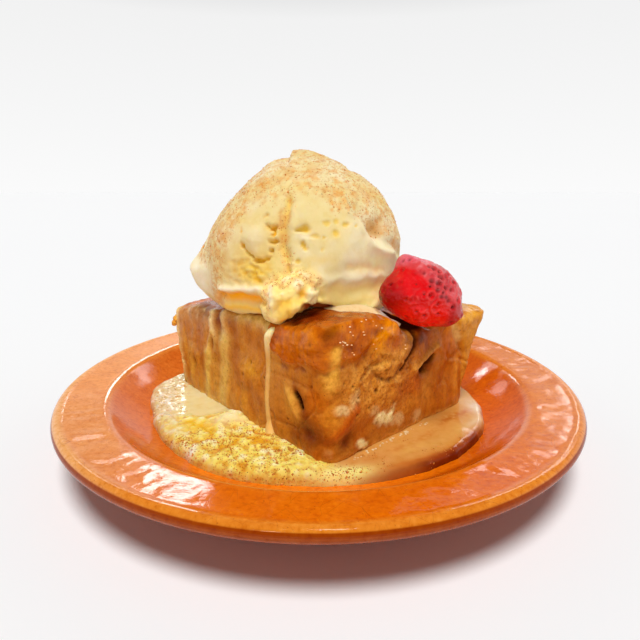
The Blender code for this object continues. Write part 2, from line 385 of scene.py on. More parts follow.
def seen(red, green, blue, light=1.0):
    """The colour a surface needs to look like this, 0 to 255, under so much light."""
    return tuple(min(part / light, 0.97) for part in srgb(red, green, blue))


class Skin:
    """The relief and the colours of a piece, worked out for all of its points at once."""

    def __init__(self, p, colour):
        self.p = p
        self.lift = np.zeros(len(p))
        self.shift = np.zeros((len(p), 3))
        self.rgb = np.tile(np.array(colour, float), (len(p), 1))

    def cloud(self, bias, gain, *noise):
        """Soft patches from a noise that is ready, or from the size, octaves and seed of one."""
        return ease(bias + gain * (noise[0] if len(noise) == 1 else rough(self.p, *noise)))

    def lay(self, mask, colour, strength=1.0, *cloud):
        """Washes a colour on, over the whole mask or in patches."""
        if cloud:
            mask = mask * self.cloud(*cloud)
        self.rgb += (np.array(colour) - self.rgb) * np.clip(mask * strength, 0, 1)[:, None]

    def mark(self, mask, rise, colour, strength):
        """Raises the surface and washes a colour on there."""
        self.lift += rise * mask
        self.lay(mask, colour, strength)

    def spots(self, on, rows):
        """Washes on ovals of colour: place, radii, turn, colour and strength of each."""
        for a, b, wide, high, turn, colour, strength in rows:
            self.lay(on((a, b), (wide, high), turn), colour, strength)

    def colour(self, obj):
        """Stores the colour at each vertex, for the material."""
        kept = obj.data.attributes.new("paint", "FLOAT_COLOR", "POINT")
        rgba = np.ones((len(self.rgb), 4), np.float32)
        rgba[:, :3] = np.clip(self.rgb, 0, 1)
        kept.data.foreach_set("color", rgba.ravel())


class Face:
    """One side of a piece, with coordinates along it: the true ones, and ones that wander a little."""

    def __init__(self, share, true, loose, loose_lines):
        self.share, self.true, self.loose, self.loose_lines = share, true, loose, loose_lines

    def on(self, centre, radii, turn=0.0, loose=True):
        return spot(*(self.loose if loose else self.true), centre, radii, turn) * self.share

    def line(self, path, width, narrow=0.0, loose=None):
        """A soft band along a path, narrower towards the path's end."""
        loose = self.loose_lines if loose is None else loose
        away, share, _ = along_path(*(self.loose if loose else self.true), path)
        return bell(away, width * (1 - narrow * share)) * self.share


# Plate


def plate_top(radius):
    rise = np.clip((radius - FLOOR_RADIUS) / (WELL_RADIUS - FLOOR_RADIUS), 0, 1)
    return FLOOR_HEIGHT + (WELL_HEIGHT - FLOOR_HEIGHT) * rise**WELL_CURVE


def plate_profile():
    """Radius, height and kind of each ring, from the middle of the top round to the middle of the foot.

    The kind is 0 on the top, 1 to 3 round the lip as it turns over, and 3 underneath.
    """
    points = [(r, FLOOR_HEIGHT, 0) for r in np.linspace(0, FLOOR_RADIUS, 12)]
    points += [(r, float(plate_top(r)), 0) for r in np.linspace(FLOOR_RADIUS + 1, WELL_RADIUS, 22)]
    lip_r, lip_z = PLATE_RADIUS - LIP, PLATE_HEIGHT - LIP
    # a rounded brow over the well, then the rim, rising gently to its rolled lip
    radius, height = WELL_RADIUS, WELL_HEIGHT
    step = 0.30
    for slope in np.radians(np.linspace(BROW_SLOPE, RIM_SLOPE, 9)):
        radius += step * math.cos(slope)
        height += step * math.sin(slope)
        points.append((radius, height, 0))
    rim_end = lip_r - ROLL
    for r in np.linspace(radius + 0.6, rim_end, 20):
        points.append((r, height + (r - radius) * math.tan(math.radians(RIM_SLOPE)), 0))
    low = points[-1][1]
    for t in np.linspace(0.2, 0.9, 6):
        points.append((rim_end + t * (lip_r - rim_end), low + (PLATE_HEIGHT - low) * float(ease(t)) ** 0.8, 0.5 * t))
    for degrees in np.linspace(90, -78, 22):
        turn = math.radians(degrees)
        kind = 1 + float(ease((46 - degrees) / 14)) + float(ease((14 - degrees) / 12))
        points.append((lip_r + LIP * math.cos(turn), lip_z + LIP * math.sin(turn), kind))
    under = [(86.5, 14.9), (80, 12.5), (72, 9.4), (64, 6.4), (58.5, 4.2), (55.6, 3.0), (54.0, 2.3), (53.5, 1.5)]
    foot = [(0, 0.5), (0.5, 0.03), (3.4, 0.03), (4.0, 0.5), (4.6, 2.2), (6, 2.7)]
    under += [(FOOT_RADIUS - inward, z) for inward, z in foot] + [(30, 2.7), (0, 2.7)]
    return points + [(r, z, 3) for r, z in under]


def make_plate():
    steps = 480
    profile = plate_profile()
    turns = np.linspace(0, 2 * math.pi, steps, endpoint=False)
    points, kinds = [], []
    for radius, height, kind in profile:
        ring = [(radius * math.cos(turn), radius * math.sin(turn), height) for turn in (turns if radius else [0])]
        points += ring
        kinds += [kind] * len(ring)
    points, kinds = np.array(points), np.array(kinds)
    starts = [1 + ring * steps for ring in range(len(profile) - 2)]
    faces = []
    for step, quads in enumerate(zip(*(band(a, b, steps) for a, b in zip(starts, starts[1:])))):
        after = (step + 1) % steps
        faces += [(0, 1 + step, 1 + after), *quads, (starts[-1] + step, len(points) - 1, starts[-1] + after)]
    x, y = points[:, 0], points[:, 1]
    radius, turn = np.hypot(x, y), np.arctan2(y, x)
    upper = kinds < 0.4
    top = upper * (points[:, 2] > 8.9) * ease((radius - 50) / 12) * ease((91 - radius) / 3)
    flat = points * [1, 1, 0]
    fine = 0.055 * rough(flat, 5.5, 3, 8) + 0.018 * rough(flat, 2.2, 2, 9)
    points[:, 2] += top * (0.09 * rough(points, 16, 2, 3) + fine)
    # faint ripples across the rim, left by the potter's fingers
    rim = ease((radius - 77) / 2.5) * ease((88.5 - radius) / 2) * upper
    rounds = np.stack([turn * 84, radius * 0.5, 0 * radius], 1)
    points[:, 2] += rim * RIPPLE * rough(rounds, 3.6, 2, 12) * (0.7 + 0.3 * ease((x + 10) / 50))
    # one pooled drop of glaze in the well, at the right
    drop = spot(x, y, (68.8, 12.5), (4.8, 4.6)) * (1 + 0.35 * rough(flat, 3.0, 2, 17))
    points[:, 2] += 0.75 * drop * upper
    plate = from_lists("glazed_plate", points, faces)

    paint = Skin(points, seen(225, 104, 3))
    left_back = np.maximum(ease((-x - 22) / 45), ease((y + 25) / 60) * ease((40 - x) / 40))
    right_back = np.maximum(ease((x - 40) / 45), ease((y + 25) / 60) * ease((x - 10) / 40))
    well = ease((WELL_RADIUS + 1 - radius) / 2)
    bead = ease(kinds / 0.6) * ease((1.6 - kinds) / 0.4)
    for mask, colour, strength in [
        (ease(0.5 + rough(flat, 22, 3, 15)), (230, 114, 8), 0.5),
        # the back and the sides are paler, partly the glaze's own tone and partly painted reflection of the bright room
        (right_back, (221, 124, 24), 0.8),
        (left_back, (233, 148, 66), 0.85),
        (well, (214, 94, 4), 0.95),
        # painted light: the front of the well, which the food shades, is painted lighter to offset that shade
        (well * ease((-y - 40) / 14) * ease((68 - radius) / 4), (226, 108, 4, 0.70), 0.95),
        # the left of the well is paler, partly the glaze's tone and partly painted reflection
        (well * ease((-x - 30) / 20), (222, 116, 30), 0.6),
        (bell(radius - WELL_RADIUS - 1.0, 1.5), (226, 120, 24), 0.5),
        (bead, (228, 134, 36), 0.85),
        # the bead is paler on the left, partly the glaze's tone and partly painted reflection
        (bead * ease((-x - 40) / 35), (240, 172, 98), 0.8),
        (ease((kinds - 1.05) / 0.6), (150, 56, 0), 0.95),
        (ease((kinds - 2.1) / 0.7), (176, 80, 26), 0.95),
        ((kinds >= 3) * ease((88 - radius) / 3), (172, 66, 8), 0.9),
    ]:
        paint.lay(mask, seen(*colour), strength)
    paint.colour(plate)
    # the glaze is satin at the back left, thinner at the sides of the well, and dull where the lip turns under
    satin = np.maximum(ease((-x - 10) / 40) * ease((y + 34) / 24), 0.25 * right_back) * ease((radius - 76.5) / 1.5)
    thin = np.maximum(ease((x - 30) / 20) * ease((16 - y) / 10), 0.6 * ease((-x - 30) / 15) * ease((2 - y) / 10))
    under = 0.85 * ease((kinds - 1.5) / 0.5)
    note(plate, satin=satin, thin=np.maximum(np.maximum(well * thin, 0.6 * satin), under))
    finish_piece(plate, plate_look(), "glaze", "plate")
    return plate


def plate_look():
    look = Look("orange_glaze")
    body = look.mottled(look.painted(), 1.5, (0.86, 0.72, 0.36), (1.08, 1.22, 1.8), 4)
    body = look.mottled(body, 7, (0.93, 0.86, 0.7), (1.03, 1.08, 1.2))
    patchy = look.between(look.noise(6, 2), 0.42, 0.62)
    body = look.specks(body, 0.95, 0.24, (150, 46, 0), look.times(patchy, 0.45), 0.6)
    body = look.specks(body, 2.6, 0.16, (96, 40, 12), 0.55, 0.10)
    crack = look.between(look.cells(5.2, "DISTANCE_TO_EDGE"), 0.0, 0.016, 1.0, 0.0)
    crack = look.times(crack, look.between(look.noise(9, 2), 0.40, 0.60, 0.05, 0.38))
    waves = look.bump(look.noise(8, 2, 0.5), 0.08, 0.5)
    return look.wear(
        Base_Color=look.mix(crack, body, srgb(152, 56, 2)),
        Roughness=look.plus(look.times(look.value("satin"), 0.30), 0.06),
        IOR=1.52,
        Specular_IOR_Level=look.plus(look.times(look.value("thin"), -0.42), 0.46),
        Normal=look.bump(look.plus(look.noise(1.5, 3, 0.6), look.times(crack, -0.25)), 0.07, 0.6, waves),
    )


# Bread pudding


def loaf(red, green, blue):
    """A colour of the right face, which the light reaches fully."""
    return seen(red, green, blue * 0.80, 0.93)


def side(red, green, blue):
    """A colour of the left face, which is a little dimmer."""
    return seen(red, green, blue, 0.96)


def crusty(red, green, blue):
    """A colour of the crust, which leans back."""
    return seen(red * 0.97, green * 0.94, blue * 0.45, 1.0)


OCHRE = loaf(178, 102, 26)
TAN = loaf(194, 121, 44)
SAND = loaf(214, 150, 76)
RUST = loaf(170, 80, 14)
HONEY = side(205, 140, 44)
GOLD = side(214, 150, 52)
CREAM = side(218, 172, 98)
CARAMEL = crusty(196, 96, 12)
AMBER = crusty(214, 120, 8)
CINDER = crusty(140, 56, 6)
BURNT = crusty(84, 26, 3)
CUSTARD = seen(224, 212, 150, 0.80)


class Bread(Skin):
    """The pudding's skin. s and t run along its right and left faces from the front corner, ws and wt wander."""

    def __init__(self, p, n):
        super().__init__(p, OCHRE)
        flat = p[:, :2] - FRONT
        self.s, self.t, self.z = flat @ RIGHT_WAY, flat @ LEFT_WAY, p[:, 2]
        self.inward, self.left_inward = -flat @ RIGHT_OUT, -flat @ LEFT_OUT
        right, left = (ease((n[:, :2] @ out - 0.2) / 0.45) for out in (RIGHT_OUT, LEFT_OUT))
        self.top = ease((n[:, 2] - 0.35) / 0.4)
        self.back = np.clip(1 - right - left - self.top, 0, 1)
        wander = 0.9 * rough(p, 5, 2, 31)
        self.ws, self.wz = self.s + wander, self.z + 0.9 * rough(p, 5, 2, 37)
        self.right = Face(right, (self.s, self.z), (self.ws, self.wz), False)
        self.left = Face(left, (self.t, self.z), (self.t + wander, self.wz), False)
        self.pit, self.crumb, self.gloss = np.zeros(len(p)), np.zeros(len(p)), np.full(len(p), 0.35)

    def hollow(self, mask, depth, dark=1.0, reach=1.5):
        """Sinks the surface and darkens it with painted shade; the shade reaches further up the sides as reach grows.
        """
        self.lift -= depth * mask
        self.darken(dark * np.clip(mask * reach - 0.25, 0, 1))

    def darken(self, mask):
        # painted shade: the mask is kept for the material, which darkens these places nearly to black
        np.maximum(self.pit, mask, out=self.pit)

    def cave(self, s, z, inward, radii, depth):
        """A hole with a flat floor dug into the right face, whatever way the surface faces there, and painted dark
        inside as shade.
        """
        mask = spot(self.ws, self.wz, (s, z), radii) * bell(self.inward - inward, 7)
        self.shift[:, :2] -= (depth * ease(mask * 1.7))[:, None] * RIGHT_OUT
        self.darken(ease(mask * 3.2 - 0.55))

    def shine(self, mask, amount=1.0):
        self.gloss = np.maximum(self.gloss, amount * np.clip(mask, 0, 1))


def bread_all_over(bread):
    p, z, top, lift, lay = bread.p, bread.z, bread.top, bread.lift, bread.lay
    x, y = p[:, 0], p[:, 1]
    warped = p + 2.6 * np.stack([rough(p, 9, 2, seed) for seed in (1, 2, 3)], 1)
    first, second, owner = cells(warped * [1, 1, 1.15], 19, 5)
    seam = bell(second - first, 0.05) * ease((rough(p, 13, 2, 44) + 0.05) / 0.5)
    base_fade = 0.3 + 0.7 * ease((z - 10.5) / 3)
    lift += (-0.55 * seam + 0.85 * rough(p, 17, 2, 6) + 0.30 * rough(p, 5.5, 3, 9)) * base_fade
    lift += 0.08 * rough(p, 1.5, 2, 14)
    lay(ease((owner - 0.45) / 0.4), TAN, 0.55)
    lay(ease((0.4 - owner) / 0.3), RUST, 0.45)
    lay(1, HONEY, 0.6, 0.1, 1.3, 8, 3, 21)
    lay(1, RUST, 0.7, -0.1, 1.4, 7, 3, 23)
    lay(seam, CINDER, 0.45)
    # scattered small pits, sunk and painted dark as shade
    near, _, own = cells(p, 3.6, 71)
    bread.hollow(bell(near, 0.15) * (own > 0.90) * (1 - top), 0.4, 0.55)
    # toasted top with puffed, darker lumps
    lift += top * (0.8 * rough(p, 7, 3, 61) + 0.14 * rough(p, 1.6, 2, 65))
    lay(top, CARAMEL, 0.9)
    lay(top, CINDER, 0.75, 0.2, 1.4, 6, 3, 63)
    lay(top, AMBER, 0.8, -0.1, 1.5, 5, 3, 67)
    bread.shine(top, 0.95)
    # the shadowed crust beneath the broken lump of the scoop
    shade = spot(x, y, (-3.4, -41.5), (6.2, 5.2)) * ease((z - 48.5) / 1.5)
    shade = np.clip(shade * 1.6, 0, 1) * ease((x + 9.5) / 2.5)
    lay(shade, crusty(150, 54, 6), 0.9)
    bread.darken(0.25 * shade)
    lay(bell(np.hypot(x + 1, y + 38.5), 3) * top, crusty(96, 16, 2), 0.9)
    # cream has soaked the top under and round the scoop
    wet = bell(np.hypot(x - SCOOP[0], y - SCOOP[1] + 2) / 35.5, 1.0) ** 6 * top
    lay(wet * ease((30 - x + y * 0.3) / 12), CREAM, 0.6)


def bread_crust(bread):
    """The browned top crust folds down over the front corner and ends in a torn hem."""
    p, s, z, lift, lay = bread.p, bread.s, bread.z, bread.lift, bread.lay
    right, left = bread.right, bread.left
    hem_s, hem_z = [0, 5, 13, 18, 22, 26, 31, 36, 40, 44], [39.5, 42.6, 41.6, 43.6, 44.8, 44.6, 43.4, 42.2, 41.8, 44]
    hem_right = np.interp(s, hem_s, hem_z) + 1.3 * rough(p, 4, 3, 81)
    hem_left = np.interp(bread.t, [0, 8, 14, 19, 24, 27], [40, 41, 39.2, 38.4, 41, 52]) + 1.2 * rough(p, 4, 3, 83)
    over_right = ease((z - hem_right) / 1.6) * right.share * ease((45 - s) / 3)
    over = np.maximum(over_right, ease((z - hem_left) / 1.8) * left.share)
    lift += 0.60 * over
    edge_right = bell(z - hem_right + 0.7, 0.8) * right.share * ease((44 - s) / 3)
    edge_left = bell(z - hem_left + 0.7, 0.8) * left.share * ease((24 - bread.t) / 3)
    ragged = bread.cloud(0.45, 1.2, 3, 2, 84)
    lift -= 0.40 * (edge_right + edge_left) * ragged
    lay(over, CARAMEL, 0.95)
    lay(over, CINDER, 0.45, 0, 1.5, 6, 3, 85)
    lay(over, AMBER, 0.7, -0.05, 1.5, 4.5, 3, 87)
    blister = rough(p, 2.4, 3, 88)
    lift += over * (0.34 * blister + 0.10 * rough(p, 1.2, 2, 90))
    lay(over, crusty(150, 60, 8), 0.6, -0.1, -2.4, blister)
    lay(over, crusty(226, 132, 22), 0.55, -0.15, 2.4, blister)
    lay(np.maximum(edge_right, edge_left) * ragged, CINDER, 0.75)
    lay(bell(z - hem_right - 0.9, 0.5) * over_right * ragged, GOLD, 0.55)
    bread.shine(over)
    bread.crumb *= 1 - over
    lay(np.clip(right.on((23.3, 46.6), (5.4, 3.2), 15) * 1.4, 0, 1), seen(222, 138, 2, 0.80))
    bread.spots(right.on, [
        (9, 46.5, 5, 2, -15, CINDER, 0.75), (12, 43.5, 4, 2.2, 0, RUST, 0.7), (2.5, 52.2, 3, 2.2, 0, BURNT, 0.7),
        (33, 46.5, 3.4, 2.4, 0, GOLD, 0.45), (37.5, 43.5, 2.6, 2.2, 0, GOLD, 0.55),
        (30, 43.6, 3.2, 1.6, 20, crusty(178, 76, 8), 0.8), (22, 50, 10, 1.6, 0, crusty(196, 100, 14), 0.6),
        (15.5, 44.5, 2.4, 1.4, 30, crusty(150, 56, 4), 0.8), (19, 49, 2.6, 1.2, 0, crusty(142, 62, 20), 0.7),
        (31.5, 47.2, 1.6, 2.6, 30, crusty(160, 62, 6), 0.6),
    ])
    streak = right.line([(4.2, 47), (3.7, 43), (2.6, 36.5)], 1.3)
    lay(np.clip(streak * 1.3, 0, 1), side(228, 166, 62), 0.85)
    bread.spots(right.on, [
        (26.5, 44.6, 2.2, 1.1, 25, crusty(168, 66, 4), 0.8), (28.2, 46.4, 1.6, 0.8, 25, seen(232, 150, 40, 0.84), 0.8),
    ])
    bread.spots(left.on, [(10, 47, 7, 4, 0, AMBER, 0.75), (16, 42, 4, 2.6, 0, crusty(200, 100, 8), 0.8)])
    lay(left.on((12, 44), (8, 6)), crusty(170, 76, 10), 0.6, 0, 1.6, 2.6, 3, 86)
    lay(left.on((4, 42), (3, 3)), RUST, 0.5)


def bread_right_face(bread):
    p, z, ws, wz, inward = bread.p, bread.z, bread.ws, bread.wz, bread.inward
    on, line, right = bread.right.on, bread.right.line, bread.right.share
    lay, lift, shift = bread.lay, bread.lift, bread.shift
    # crumbly tan inside under the crust
    inside = np.clip((on((21, 33), (15, 8.5)) + 0.8 * on((33, 30), (10, 8))) * 1.25, 0, 1)
    lay(inside, TAN, 0.9)
    lay(inside, SAND, 0.65, 0.1, 1.6, 4, 3, 101)
    lay(inside, OCHRE, 0.8, -0.1, 1.6, 3.2, 3, 103)
    bread.crumb = np.maximum(bread.crumb, inside)
    lift += inside * (0.42 * rough(p, 3, 3, 105) + 0.20 * rough(p, 1.3, 2, 107))
    # its low places sunk, with a little painted shade
    bread.hollow(inside * ease((rough(p, 1.6, 2, 108) - 0.46) / 0.2), 0.3, 0.45)
    lay(inside, loaf(222, 160, 84), 0.5, -0.2, 2.4, 2, 3, 104)
    lay(inside, loaf(164, 88, 20), 0.5, -0.2, 2.4, 2.6, 3, 106)
    # soaked, redder half, in soft upright streaks
    soaked = ease((bread.s - 36) / 8) * right
    streak = rough(p * [1, 1, 0.28], 3, 3, 109)
    lay(soaked, loaf(180, 96, 20), 0.85)
    lay(soaked, loaf(204, 126, 44), 0.75, 0.1, 1.9, streak)
    lay(soaked, loaf(150, 66, 10), 0.75, -0.1, -1.7, streak)
    lift += soaked * (0.30 * streak + 0.16 * rough(p, 1.7, 3, 118))
    bread.spots(on, [
        (34.6, 26.8, 6, 5, 0, loaf(168, 78, 16), 0.75), (40, 27.5, 3, 4, 20, loaf(190, 92, 24), 0.7),
        (46.5, 24, 3, 6, 0, loaf(206, 138, 62), 0.6), (56, 22, 5, 8, 0, loaf(180, 94, 22), 0.5),
        (57, 36, 3.5, 6, 0, loaf(176, 82, 16), 0.7),
    ])
    # the crack and the hollows below the berry, painted dark as shade
    crack = [(40.5, 44.5), (38.9, 40.4), (35.6, 37.2), (32.2, 34.3)]
    lay(line(crack, 2.6, 0.4, True), loaf(134, 52, 8), 0.8)
    bread.hollow(line(crack, 1, 0.6, True), 0.9, 0.85, 2)
    lay(line([(34.5, 40.8), (31.5, 38.5), (28.5, 38)], 1, 0.3), SAND, 0.6)
    bread.cave(45, 31.2, 1, (2, 1.9), 2.4)
    lay(on((46.2, 31.4), (4.2, 3), 25), loaf(118, 42, 6), 0.85)
    bread.hollow(line([(45.5, 31.8), (47.6, 33.2), (50.2, 34.6)], 1.1, 0.4), 1.4, 0.85, 2.4)
    # a raised ridge above the cave, painted pale, partly as painted highlight along its lit edge
    bread.mark(line([(39.5, 32.4), (43, 34.4), (47, 36.2), (52, 37.6)], 1.1), 1, SAND, 0.6)
    bread.cave(40.6, 47.2, 2, (4, 3.4), 3.2)
    # the crust's shoulder stands a little higher beside it
    shift[:, 2] += 2 * bell(bread.s - 29.5, 5) * bell(inward - 2.5, 5) * ease((z - 42) / 5)
    # painted shade: the hole under the berry is painted near black, darkened further and made matt
    reach = np.sqrt(((ws - 41) / 8) ** 2 + ((wz - 45.5) / 5.6) ** 2 + ((inward - 5) / 9) ** 2)
    lay(ease((1.25 - reach) / 0.4), loaf(126, 44, 6), 0.9)
    reach = np.sqrt(((ws - 41.4) / 5.6) ** 2 + ((wz - 46.2) / 3.4) ** 2 + ((inward - 9) / 10) ** 2)
    bread.darken(ease((1.25 - reach) / 0.3))
    bread.matt = ease((1.5 - reach) / 0.3)
    # the edge of the crust dips a little at the front
    dip = np.interp(p[:, 0], [-18, -12, -7, -1, 6, 13], [0, 2, 2.8, 1.6, 0.9, 0])
    shift[:, 2] -= dip * bell(np.minimum(inward, bread.left_inward) - 4, 9) * ease((z - 44) / 6)
    bread.spots(on, [
        (47.5, 43.5, 3.4, 4.5, 20, loaf(140, 56, 10), 0.75), (42.5, 41.2, 2, 1.4, 30, BURNT, 0.8),
        (55, 44, 3, 3.5, 0, loaf(160, 80, 18), 0.6),
    ])
    # a torn lump of crumb in the middle, its torn lower edge sunk and painted darker as shade
    torn = line([(31.9, 35.4), (29.2, 32.6), (25.5, 32.4), (22, 34.2), (19.6, 36.6)], 0.75)
    bread.hollow(torn * bread.cloud(0.6, 1.5, 3, 2, 92), 0.5, 0.3)
    lay(torn, loaf(140, 66, 14), 0.6)
    lump = on((26, 36.6), (5.4, 3))
    lift += 0.5 * lump + 0.40 * lump * rough(p, 1.8, 2, 91)
    lay(lump, loaf(206, 138, 62), 0.7)
    # a groove with painted shade, and a pale line under it
    bread.hollow(line([(15.5, 36.5), (19, 38.6), (23.5, 38.4)], 0.8), 0.7, 0.2)
    lay(line([(15.5, 35.4), (19, 37.4), (23.5, 37.2)], 0.6), SAND, 0.7)
    # small pits, sunk and painted dark as shade
    for s, height, size in [
        (20.7, 30.4, 0.7), (14.2, 35.8, 0.4), (15.9, 38.3, 0.35), (10.7, 34.5, 0.35),
        (24, 33.2, 0.35), (17.5, 26, 0.35), (13, 30.5, 0.35), (12.2, 25.5, 0.4),
    ]:
        bread.hollow(on((s, height), (size * 1.3, size), loose=False), 0.7, 0.8)
    # custard shows through
    ragged = 2.0 + 1.6 * rough(p, 2, 3, 116)
    for s, height, wide, high, strength in [
        (24.6, 20.4, 4.4, 2.9, 1), (29, 22.6, 2.2, 1.6, 0.7), (6.4, 28, 3, 1.8, 0.45), (15.7, 14.6, 3.2, 1.7, 1),
        (1.8, 15.2, 2.1, 2, 1), (31, 18, 3.4, 2.4, 0.35), (20.5, 23.5, 3, 2, 0.25), (41, 16, 3, 2.4, 0.3),
        (11.5, 30.5, 2.5, 3.5, 0.22),
    ]:
        mask = ease(on((s, height), (wide, high), -12) * ragged - 0.45)
        bread.mark(mask, 0.45 * strength, CUSTARD, strength)
    fold = line([(11.5, 27.4), (7.5, 24.2), (2.6, 20.6)], 1.8)
    lay(ease(fold * (1.6 + 1.2 * rough(p, 2.2, 3, 117)) - 0.2), loaf(186, 86, 12), 0.8)
    lift += 0.6 * fold
    # painted shade: a spot low by the front corner, sunk and painted dark brown
    lift -= 0.9 * on((9, 18.6), (4, 1.8), 30)
    bread.spots(on, [
        (8.2, 17.4, 4.2, 2.8, 30, loaf(120, 50, 8), 0.95), (9.5, 19, 3, 1.2, 30, BURNT, 0.5),
        (20, 17.5, 6, 2, 0, loaf(160, 86, 24), 0.7), (34, 15.5, 6, 3, 0, loaf(176, 102, 34), 0.6),
        (29, 14.6, 5, 1.4, 0, loaf(190, 120, 50), 0.6),
    ])
    # the slice that stands up at the right corner
    away, _, hand = along_path(ws, wz, [(60, 52), (61.4, 41), (64, 36.8), (67, 31.6), (68.5, 14)])
    outer = np.maximum(ease((hand * away + 0.8) / 1.6) * right, ease((p[:, 0] - 50.5) / 2.5) * ease((z - 24) / 14))
    lift -= 0.9 * bell(away, 0.8) * right * ease((z - 26) / 10)
    lay(outer, side(204, 134, 30), 0.95)
    lay(outer * ease((40 - z) / 16), side(204, 130, 42), 0.7)
    lay(outer, side(186, 110, 26), 0.5, -0.1, 1.6, rough(p * [1, 1, 0.4], 3.5, 3, 93))
    shift[:, 0] += 1.3 * outer * ease((z - 30) / 14)
    lay(bell(np.hypot(p[:, 0] - 51.5, z - 46), 3) * outer, side(226, 166, 74), 0.6)
    lay(bell(away, 1) * right * ease((z - 20) / 14), loaf(168, 84, 20), 0.5)
    lay(line([(60.2, 43.5), (61.4, 41), (64.3, 36.8)], 0.9), CREAM, 0.9)
    bread.crumb *= 1 - outer


